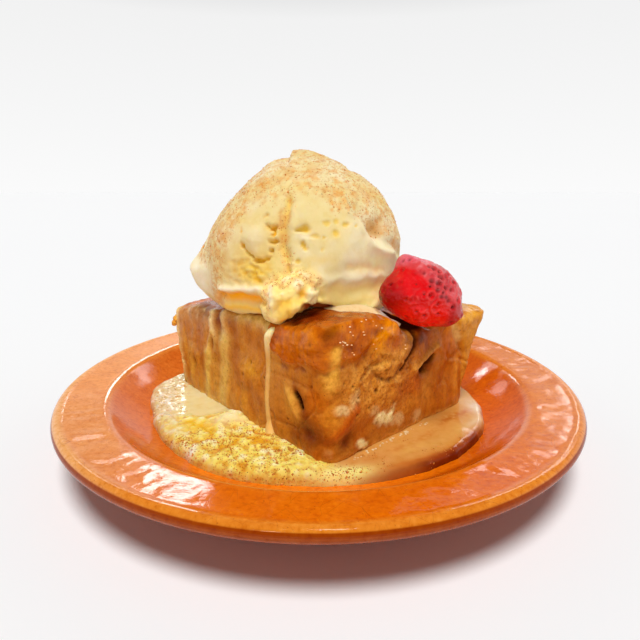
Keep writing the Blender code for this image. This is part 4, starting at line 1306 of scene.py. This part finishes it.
def foam_here(p, angle):
    """How frothy the pool is at a place: the cream at the front left holds foam and dust."""
    wander = 2.2 * rough(p * [1, 1, 0], 7, 2, 51)
    shore = [(-70, -16), (-56, -20.5), (-46, -22.5), (-36, -22.5), (-30, -20.5), (-24, -18)]
    upper, _, hand = along_path(p[:, 0], p[:, 1] + wander, shore)
    front = ease((281 + 4 * wander - angle) / 14) * ease((angle - 180) / 20)
    return np.clip(ease(0.5 - hand * upper / 3) * front, 0, 1)


def pool_shape(p, angle, edge, foam):
    """The height of the pool's surface at each place, the froth's lumps, and where the far left is."""
    radius = np.hypot(p[:, 0], p[:, 1])
    froth = 0.55 * rough(p, 3.2, 3, 59) + 0.65 * (0.5 - cells(p, 2.6, 60)[0])
    height = POOL_LEVEL + 0.15 + foam * (0.45 * ease((radius - 36) / 8) + 1.15 * froth + 0.25 * rough(p, 1.2, 2, 61))
    # a mound of froth before the bread, highest towards the left
    heart = np.array([-22.0, -32.0])
    along, across = (p[:, :2] - heart) @ LEFT_WAY, (p[:, :2] - heart) @ LEFT_OUT
    mound = spot(along, across, (0, 0), (15, 9))
    height += 0.9 * mound + 1.9 * spot(along, across, (10, 1), (5.5, 6)) + 0.5 * mound * rough(p, 4, 2, 63)
    height += 0.9 * bell(along + 22, 12) * bell(across - 1, 6)
    flow = p * [1, 1, 0]
    far_left = bell(off_angle(angle, 190), 26) * ease((radius - 51) / 5)
    height += (1 - foam) * 0.12 * rough(flow, 9, 2, 65) + far_left * (0.55 * rough(flow, 2.4, 2, 67) + 0.2)
    wall = plate_top(radius) - 0.25
    dome = np.sqrt(np.clip(1 - (1 - np.clip(edge / (2.6 + 1.2 * foam), 0, 1)) ** 2, 0, 1))
    return wall + (height - wall) * dome, froth, far_left


def pool_paint(q, edge, foam, froth, far_left):
    x, y, _ = q.T
    loose_x, loose_y = x + 2 * rough(q, 5, 3, 71), y + 2 * rough(q, 5, 3, 73)
    right_side = ease((x + 6 + 5 * rough(q, 8, 2, 69)) / 14)
    paint = Skin(q, pooled(236, 219, 158))

    def lay(mask, colour, strength, *cloud):
        paint.lay(mask, pooled(*colour), strength, *cloud)

    lay(1, (241, 229, 184), 0.6, 0, 1.5, 8, 3, 77)
    lay(right_side, (219, 157, 78), 1)
    lay(right_side, (226, 174, 98), 0.6, 0, 1.5, 7, 3, 79)
    lay(right_side * ease((-y - 42) / 8), (214, 146, 74), 0.6)
    streaks = paint.cloud(0.75, 1.3, 1.6, 3, 81)
    for a, b, long, wide, turn, strength, colour in [
        (33.5, -36.8, 6.5, 1.6, 42, 0.75, (206, 124, 44)), (36.5, -33.6, 3, 0.9, 42, 0.6, (200, 112, 34)),
        (47.5, -21.5, 7.5, 3.2, 42, 0.95, (206, 122, 36)), (44, -24.5, 5.5, 1.4, 42, 0.8, (190, 100, 24)),
        (52, -18.5, 3.4, 1.4, 50, 0.7, (196, 104, 28)), (24, -44.8, 5, 1.2, 38, 0.65, (204, 118, 44)),
        (14, -50.5, 4, 0.9, 35, 0.5, (204, 124, 52)), (46, -31, 6, 2.2, 45, 0.6, (226, 172, 88)),
        (30, -44.5, 9, 2.4, 38, 0.55, (226, 174, 88)), (17, -54, 7, 2, 24, 0.5, (216, 150, 76)),
    ]:
        lay(spot(loose_x, loose_y, (a, b), (long, wide), turn) * streaks, colour, strength)
    # painted highlight: pale glossy patches at the right end, partly pale cream
    lay(spot(x, y, (57, -15.5), (3.6, 7), 8), (236, 214, 188), 0.9)
    lay(spot(x, y, (53.5, -25.5), (6, 1.6), 50), (236, 206, 160), 0.75)
    # thin where it meets the glaze, so the edge goes red-brown
    thick = edge + 0.8 * rough(q, 4, 2, 83)
    low_right = right_side * ease((-y - 12 - 0.2 * x) / 14)
    far_run = low_right * (0.3 + 0.7 * ease((x - 25) / 12))
    lay(ease((5 - thick) / 3.4) * low_right, (206, 118, 36), 0.75)
    lay(ease((3.3 - thick) / 1.8) * far_run, (150, 52, 4), 0.9)
    lay(ease((1.5 - thick) / 1.1) * (far_run * 0.9 + 0.1), (112, 30, 2), 0.95)
    lay(ease((1.6 - thick) / 1.4) * (1 - low_right), (190, 110, 36), 0.7)
    # froth: pale clots, yellow between them
    lay(foam, (249, 230, 110), 0.97)
    lay(foam, (230, 160, 12), 0.9, 0.1, -2.6, froth)
    lay(foam, (253, 244, 184), 0.95, -0.05, 2.8, froth)
    lay(foam * (paint.cloud(-0.35, 2.6, 1.5, 3, 78) * paint.cloud(0.4, 1.6, 6, 2, 80)), (198, 116, 26), 0.8)
    yellow = spot(loose_x, loose_y, (-40, -30), (9, 4.5), -40) + spot(loose_x, loose_y, (-46, -34), (5, 3), -40)
    lay(np.clip(yellow, 0, 1) * foam * ease(0.5 - froth), (243, 196, 18), 0.8)
    lay(foam * bell(np.hypot(x + 30, (y + 27) * 1.6), 6), (252, 240, 190), 0.8)
    lay(foam * bell(edge - 0.3, 0.7), (206, 140, 50), 0.6)
    lay(bell(np.hypot(x + 38.5, y + 45.5), 1.8), (250, 244, 226), 0.9)
    tongue = np.clip(1.5 * spot(x, y, (7, -57.3), (8, 2.4), 12), 0, 1)
    lay(tongue, (248, 232, 140), 0.95)
    # the far left is thin and bubbly, tinted by the glaze under it; its whitish patches are partly painted reflection
    lay(far_left, (222, 186, 134), 0.7)
    lay(far_left, (244, 234, 212), 0.85, 0, 2, 2.2, 3, 85)
    lay(far_left, (204, 142, 80), 0.6, -0.2, -2, 2.6, 3, 87)
    patchy = rough(q, 5, 3, 75)
    dust = np.maximum(foam * (0.55 + 0.7 * patchy) * ease((-y - 22 + 0.2 * x) / 8), 0.7 * tongue)
    return paint, np.maximum(dust, 0.32 * right_side * (patchy > 0.15) * ease((-y - 34) / 8))


def make_pool():
    rings, steps = 110, 800
    share = np.concatenate([[0.30], np.linspace(0.42, 1.0, rings - 1) ** 0.9])
    turns = np.linspace(0, 2 * math.pi, steps, endpoint=False)
    ragged = np.stack([60 * np.cos(turns), 60 * np.sin(turns), 0 * turns], 1)
    reach = pool_reach(np.degrees(turns)) + 0.9 + 0.8 * rough(ragged, 7, 2, 53) + 0.35 * rough(ragged, 2.2, 2, 57)
    radius = share[:, None] * reach[None, :]
    p = np.stack([(radius * np.cos(turns)).ravel(), (radius * np.sin(turns)).ravel(), np.zeros(radius.size)], 1)
    edge = (reach[None, :] - radius).ravel()
    angle = np.degrees(np.arctan2(p[:, 1], p[:, 0])) % 360
    foam = foam_here(p, angle)
    p[:, 2], froth, far_left = pool_shape(p, angle, edge, foam)
    starts = [ring * steps for ring in range(rings)]
    faces = [face for a, b in zip(starts, starts[1:]) for face in band(a, b, steps)]
    # closed underneath, inside the plate
    last, low = starts[-1], len(p)
    for quads in zip(band(last, low, steps), band(low, low + steps, steps), band(low + steps, 0, steps)):
        faces += quads

    def closed(values):
        return np.concatenate([values, values[last:], values[:steps]])

    points = closed(p)
    points[low : low + steps, 2] -= 0.6
    points[low + steps :, 2] = FLOOR_HEIGHT - 0.6
    pool = from_lists("melted_cream_pool", points, faces)
    foam = closed(foam)
    paint, dust = pool_paint(places(pool), closed(edge), foam, closed(froth), closed(far_left))
    note(pool, foam=foam, dust=dust)
    paint.colour(pool)
    finish_piece(pool, pool_look(), "melted_cream", "cream_pool")
    return pool, dust


def pool_look():
    look = Look("melted_cream")
    foam, dust = look.value("foam"), look.value("dust")
    body = look.mottled(look.painted(), 3, (0.95, 0.90, 0.78), (1.03, 1.05, 1.1), 4)
    spread = look.between(dust, 0.06, 0.50, 0.0, 0.95)
    body = look.specks(body, 1.0, 0.24, (186, 106, 26), spread, 0.6)
    body = look.specks(body, 0.66, 0.24, (150, 74, 14), spread, 0.45)
    body = look.specks(body, 1.7, 0.15, (136, 62, 12), spread)
    froth = look.times(look.plus(look.noise(1.2, 3, 0.6), look.between(look.cells(1.4), 0.0, 0.6, 1.0, 0.0)), foam)
    return look.wear(
        Base_Color=body,
        Roughness=look.plus(look.times(foam, 0.30), 0.10),
        IOR=1.38,
        Subsurface_Weight=0.35,
        Subsurface_Radius=(1.0, 0.6, 0.22),
        Subsurface_Scale=0.0018,
        Normal=look.bump(look.noise(6, 2), 0.10, 0.3, look.bump(froth, 0.30, 0.6)),
    )


def running_look():
    look = Look("running_cream")
    return look.wear(
        Base_Color=look.mottled(look.painted(), 2, (0.95, 0.90, 0.82), (1.03, 1.05, 1.1)),
        Roughness=0.22,
        IOR=1.38,
        Subsurface_Weight=0.4,
        Subsurface_Radius=(1.0, 0.6, 0.24),
        Subsurface_Scale=0.0014,
        Normal=look.bump(look.noise(1.5), 0.12, 0.4),
    )


def even_out(values, count):
    """The running mean of an odd count of values."""
    return np.convolve(np.pad(values, count // 2, mode="edge"), np.ones(count) / count, mode="valid")


def make_drip(pudding):
    """One thread of cream that runs from the broken lump down the left face into the pool."""
    cast = surface_of(pudding)
    # where it passes: height, distance along the left face, and half its width
    keys = [(49, 23.2, 0.6), (48.2, 23.5, 1.35), (46.6, 24.2, 1.6), (44, 25.4, 1.5), (41, 26.9, 1.2), (38, 27.4, 1.05)]
    keys += [(30, 27.7, 0.95), (24, 27.6, 0.95), (17, 27.2, 1.05), (12.4, 27, 2.6)]
    key_z, key_t, key_w = zip(*keys[::-1])
    heights = np.linspace(key_z[-1], key_z[0], 90)
    along = np.interp(heights, key_z, key_t) + 0.18 * rough_along(heights, 6, 2, 121)
    half = np.interp(heights, key_z, key_w)
    depth = []
    for t, z in zip(along, heights):
        start = Vector((*(FRONT + LEFT_WAY * t + LEFT_OUT * CLEAR), z))
        hit, _ = cast(start, (*-LEFT_OUT, 0))
        depth.append(CLEAR - (start - hit).length if hit is not None else 0.0)
    depth = even_out(depth, 9)
    count = 16
    points = []
    for t, z, wide, deep in zip(along, heights, half, depth):
        for turn in np.linspace(0, 2 * math.pi, count, endpoint=False):
            up = wide * 0.62 * math.sin(turn) * (1.0 if math.sin(turn) > 0 else 1.6)
            flat = FRONT + LEFT_WAY * (t + wide * math.cos(turn)) + LEFT_OUT * (deep + 0.12 + up)
            points.append((*flat, z))
    last = len(points) - count
    faces = [(a, d, c, b) for low in range(0, last, count) for a, b, c, d in band(low, low + count, count)]
    faces += [tuple(range(count))[::-1], tuple(range(last, last + count))]
    drip = from_lists("cream_drip", points, faces)
    paint = Skin(np.array(points), seen(206, 164, 92, 0.82))
    paint.lay(ease((paint.p[:, 2] - 38) / 7), seen(240, 216, 156, 0.85), 0.95)
    paint.lay(ease((20 - paint.p[:, 2]) / 7), seen(226, 188, 112, 0.80), 0.9)
    paint.colour(drip)
    finish_piece(drip, running_look(), "melted_cream")
    return drip


def make_melted_rim(scoop, pudding):
    """The soft white foot where the scoop melts on to the bread, widest towards the berry."""
    at_ice, at_bread = surface_of(scoop), surface_of(pudding)
    foot_height, bread_top, usual_reach = 54.6, 46, 33.0
    # it stops short under the berry, where the bread falls in
    arcs = [(-74, -30), (14, 141)]
    degrees = np.concatenate([np.arange(*arc, 1.0) for arc in arcs])
    middle = Vector((SCOOP[0], SCOOP[1], 0))
    outline, tops = [], []
    for angle in np.radians(degrees):
        way = Vector((math.cos(angle), math.sin(angle), 0))
        hit, _ = at_ice(middle + way * OUTSIDE + Vector((0, 0, foot_height)), -way)
        reach = (hit - middle).to_2d().length if hit is not None else usual_reach
        below, _ = at_bread(middle + way * (reach + 1.2) - DOWN * (bread_top + OUTSIDE), DOWN)
        outline.append(reach)
        tops.append(below.z if below is not None and below.z > bread_top else np.nan)
    good = ~np.isnan(tops)
    tops = even_out(np.interp(degrees, degrees[good], np.array(tops)[good]), 7)
    ends = np.where(degrees < 0, ease((-30 - degrees) / 4), ease((degrees - 14) / 6))
    ends = ease((degrees + 74) / 10) * ease((140 - degrees) / 20) * ends
    uneven = 0.5 * rough_along(degrees / 2, 5, 2, 131)
    wide = ends * (1.3 + 1.6 * bell(degrees + 50, 16) + 4.8 * bell(degrees + 42, 8) + uneven)
    tall = ends * (1.9 + 2 * bell(degrees + 46, 10)) + 0.05
    profile = [(-1.6, 1.15), (-0.6, 1), (-0.1, 0.82), (0.25, 0.6), (0.55, 0.38), (0.85, 0.2), (1.05, 0.02)]
    profile += [(0.95, -0.4), (0.6, -0.8), (0, -0.9), (-1.6, -0.9)]
    points = []
    for angle, reach, top, w, h in zip(np.radians(degrees), even_out(outline, 7), tops, wide, tall):
        for a, b in profile:
            r = reach + (a * w if a > 0 else a)
            points.append((SCOOP[0] + r * math.cos(angle), SCOOP[1] + r * math.sin(angle), top + b * h))
    count = len(profile)
    faces = []
    first = 0
    for start, end in arcs:
        last = first + (end - start - 1) * count
        for low in range(first, last, count):
            faces += band(low, low + count, count)
        faces += [tuple(range(first, first + count)), tuple(range(last, last + count))[::-1]]
        first = last + count
    rim = from_lists("melted_rim", points, faces)
    q = places(rim)
    put(rim, q + normals(rim) * (0.22 * rough(q, 2.4, 2, 133))[:, None])
    paint = Skin(places(rim), seen(236, 206, 152, 1.06))
    paint.lay(1, seen(226, 180, 112), 0.6, -0.2, 1.6, 3, 3, 135)
    paint.colour(rim)
    finish_piece(rim, running_look(), "melted_cream")
    return rim


# Small things


def grain_look():
    look = Look("ground_cinnamon")
    body = look.mix(look.between(look.noise(1.2), 0.35, 0.65), srgb(180, 92, 26), srgb(236, 160, 78))
    return look.wear(Base_Color=body, Roughness=0.8, Specular_IOR_Level=0.2)


def make_grains(name, under, weight, count, grain, slot):
    """Loose cinnamon lying on a piece, thickest where weight is high."""
    corners = np.array([tuple(f.vertices)[:3] for f in under.data.polygons])
    q, n = places(under), normals(under)
    share = weight[corners].mean(1) ** 1.5 * (n[corners].mean(1)[:, 2] > -0.35)
    picked = corners[RNG.choice(len(corners), count, p=share / share.sum())]
    blend = RNG.dirichlet((1, 1, 1), count)
    place = (q[picked] * blend[:, :, None]).sum(1)
    out = n[picked].mean(1)
    out /= np.linalg.norm(out, axis=1)[:, None]
    size = grain * np.exp(0.35 * RNG.standard_normal(count))[:, None]
    arm = np.cross(out, RNG.standard_normal((count, 3)))
    arm /= np.linalg.norm(arm, axis=1)[:, None]
    long, wide = size * RNG.uniform(1.0, 1.7, (count, 1)), size * RNG.uniform(0.7, 1.1, (count, 1))
    arms = [arm * long, np.cross(out, arm) * wide, -arm * long, -np.cross(out, arm) * wide]
    points = np.stack([place + each + out * 0.03 for each in arms] + [place + out * size, place - out * size], 1)
    faces = []
    for b in range(0, 6 * count, 6):
        for i, j in (0, 1), (1, 2), (2, 3), (3, 0):
            faces += [(b + i, b + j, b + 4), (b + j, b + i, b + 5)]
    grains = from_lists(name, points.reshape(-1, 3), faces)
    finish_piece(grains, grain_look(), slot)
    return grains


def lumps(name, pieces, subdivisions, wobble, look, slot):
    """Small rounded bodies joined in one piece: each has a centre and three radii."""
    work = bmesh.new()
    for centre, radii in pieces:
        for vertex in bmesh.ops.create_icosphere(work, subdivisions=subdivisions, radius=1.0)["verts"]:
            vertex.co = Vector(centre) + vertex.co * Vector(radii)
    made = from_work(name, work)
    q = places(made) * MM
    put(made, q + normals(made) * (wobble * rough(q, 1.6, 3, 141))[:, None])
    finish_piece(made, look, slot)
    return made


def make_bubbles(pool):
    cast = surface_of(pool)
    wanted, pieces = [], []
    for _ in range(46):
        way = FRONT + RIGHT_WAY * RNG.uniform(10, 46)
        wanted.append((way + RIGHT_OUT * (0.7 + 1.3 * RNG.random() ** 2), RNG.uniform(0.18, 0.5)))
    for _ in range(90):
        turn = math.radians(RNG.normal(190, 12))
        away = RNG.uniform(50, 62)
        wanted.append((np.array([away * math.cos(turn), away * math.sin(turn)]), RNG.uniform(0.2, 0.7)))
    for flat, size in wanted:
        hit, _ = cast((*flat, OUTSIDE), DOWN)
        if hit is not None:
            pieces.append(((hit.x, hit.y, hit.z - 0.15 * size), (size, size, size * 0.7)))
    look = Look("cream_bubble")
    look.wear(Base_Color=look.cloudy(8, pooled(224, 170, 100), pooled(240, 214, 166)), Roughness=0.05, IOR=1.38)
    return lumps("cream_bubbles", pieces, 2, 0.0, look.material, "melted_cream")


def make_crumbs():
    look = Look("loose_crumb")
    body = look.mottled(look.cloudy(5, side(228, 172, 70), side(212, 142, 42)), 0.9, (0.8, 0.7, 0.5), (1.1, 1.15, 1.2))
    look.wear(Base_Color=body, Roughness=0.45, IOR=1.4, Normal=look.bump(look.noise(0.8, 4, 0.65), 0.25, 0.6))
    pieces = [((-56.2, 10.6, 38.9), (1.3, 1.6, 1.3)), ((-57, 10, 37.4), (0.9, 1.2, 1.3))]
    pieces.append(((-55.8, 11.6, 39.8), (1.2, 1.4, 0.9)))
    return lumps("bread_crumbs", pieces, 4, 0.5, look.material, "pudding")


def make_syrup(pudding):
    """Tiny wet beads of syrup on the crust, in loose clusters: place on the right face, spread and count of each. Their
    pale colour is partly painted highlight, so that they read as glints.
    """
    cast = surface_of(pudding)
    pieces = []
    clusters = [(6, 48.6, 1, 6), (11, 50, 2.6, 6), (18, 50.6, 2.4, 5), (21, 44.5, 1.6, 2), (34, 41, 1.6, 2)]
    for s, z, spread, count in [*clusters, (8, 44, 2.5, 3)]:
        for _ in range(count):
            flat = FRONT + RIGHT_WAY * (s + spread * RNG.standard_normal()) + RIGHT_OUT * CLEAR
            size = RNG.uniform(0.12, 0.30)
            hit, _ = cast((*flat, z + 0.5 * spread * RNG.standard_normal()), (*-RIGHT_OUT, 0))
            if hit is not None:
                pieces.append((hit, (size * 1.3, size * 1.3, size * 0.8)))
    look = Look("syrup_glint_bead")
    look.wear(Base_Color=look.cloudy(6, srgb(226, 150, 72), srgb(246, 212, 160)), Roughness=0.04, IOR=1.45)
    return lumps("syrup_glint_beads", pieces, 2, 0.0, look.material, "pudding")


# Stage, lights and camera


def make_stage():
    """A wide, flat, pale floor."""
    count = 13
    grid = np.linspace(-9000, 9000, count)
    points = [(x, y, 0.0) for y in grid for x in grid]
    corners = [row * count + column for row in range(count - 1) for column in range(count - 1)]
    floor = from_lists("studio_floor", points, [(c, c + 1, c + count + 1, c + count) for c in corners])
    look = Look("studio_white")
    body = look.mix(look.noise(400, 2), (0.962, 0.964, 0.968), (0.972, 0.974, 0.978))
    floor.data.materials.append(look.wear(Base_Color=body, Roughness=0.9, Specular_IOR_Level=0.0))


def direction(azimuth, elevation, distance):
    """A place seen from the object: azimuth 0 is behind it, positive to the right, in degrees."""
    a, e = math.radians(azimuth), math.radians(elevation)
    return Vector((math.sin(a) * math.cos(e), math.cos(a) * math.cos(e), math.sin(e))) * distance


def add_light(name, kind, place):
    made = add(name, bpy.data.lights.new(name, kind))
    made.location = place
    made.rotation_euler = (Vector((0.0, 0.0, 0.02)) - Vector(place)).to_track_quat("-Z", "Y").to_euler()
    return made


def window(name, azimuth, elevation, wide, high, radiance, pieces):
    """A soft light of one brightness on these pieces; width and height are in degrees as seen from the object."""
    distance = 5.0
    made = add_light(name, "AREA", direction(azimuth, elevation, distance))
    light = made.data
    light.shape = "RECTANGLE"
    light.size = 2 * distance * math.tan(math.radians(wide / 2))
    light.size_y = 2 * distance * math.tan(math.radians(high / 2))
    light.energy = radiance * math.pi * light.size * light.size_y
    made.visible_camera = False
    reach = bpy.data.collections.new(name + "_reach")
    for piece in pieces:
        reach.objects.link(piece)
    made.light_linking.receiver_collection = reach
    return made


def make_lights(food, everything):
    overhead = add_light("overhead", "SUN", direction(180, 72, 2.0))
    overhead.data.angle = math.radians(22)
    overhead.data.energy = SUN_POWER
    window("window_left", -13.5, 26.0, 9.0, 5.0, 10.0, everything)
    window("window_right", 31.0, 31.0, 26.0, 6.0, 3.4, everything)
    window("window_far_left", -26.0, 31.0, 14.0, 5.0, 2.8, everything)
    window("window_small", 27.0, 23.0, 4.0, 4.0, 6.0, everything)
    window("lamp", 200.0, 38.0, 5.0, 5.0, 9.0, everything)
    window("lamp_high", 165.0, 76.0, 8.0, 8.0, 9.0, everything)
    # a broad soft box low at the front, for the food alone
    fill = window("soft_box", 180.0, 14.0, 70.0, 34.0, FILL_RADIANCE, food)
    overhead.visible_glossy = fill.visible_glossy = False


def make_room():
    """The light of the room: bright round the horizon, dimmer above and towards the front."""
    world = bpy.data.worlds.new("studio")
    bpy.context.scene.world = world
    world.use_nodes = True
    room = Nodes(world.node_tree)
    split = room.node("SeparateXYZ", Vector=room.node("TexCoord").outputs["Generated"])
    levels = []
    for axis, low, stops in [
        ("Z", 0.0, [(0.0, 0.96), (0.28, 0.885), (0.46, 0.36), (0.62, 0.12), (0.9, 0.08)]),
        ("Y", -1.0, [(0.10, 0.20), (0.45, 1.0)]),
    ]:
        spread = room.node("MapRange", Value=split.outputs[axis], From_Min=low)
        ramp = room.node("ValToRGB", Fac=spread.outputs["Result"])
        elements = ramp.color_ramp.elements
        while len(elements) < len(stops):
            elements.new(0.5)
        for element, (where, level) in zip(elements, stops):
            element.position = where
            element.color = (level, level, level, 1.0)
        levels.append(ramp.outputs["Color"])
    room.fill(room.tree.nodes["Background"], {"Strength": room.times(*levels), "Color": (1.0, 1.0, 1.0)})


def make_camera():
    camera = bpy.data.cameras.new("camera")
    camera.lens = LENS
    camera.sensor_width = SENSOR
    camera.clip_start = 0.01
    made = add("camera", camera)
    made.location = CAMERA_PLACE
    made.rotation_euler = Vector(CAMERA_WAY).to_track_quat("-Z", "Y").to_euler()
    bpy.context.scene.camera = made


# All of it

plate = make_plate()
pudding = make_pudding()
scoop, scoop_dust = make_ice_cream()
berry, seeds = make_strawberry()
pool, pool_dust = make_pool()
food = [pudding, scoop, berry, seeds, make_drip(pudding), make_melted_rim(scoop, pudding)]
food.append(make_grains("cinnamon_on_scoop", scoop, scoop_dust, 3000, 0.125, "ice_cream"))
food += [make_crumbs(), make_syrup(pudding)]
others = [plate, pool, make_grains("cinnamon_on_cream", pool, pool_dust, 2100, 0.16, "melted_cream")]
others.append(make_bubbles(pool))
make_stage()
make_lights(food, food + others)
make_room()
make_camera()
bpy.context.scene.view_settings.view_transform = "Standard"
bpy.context.scene.view_settings.look = "None"
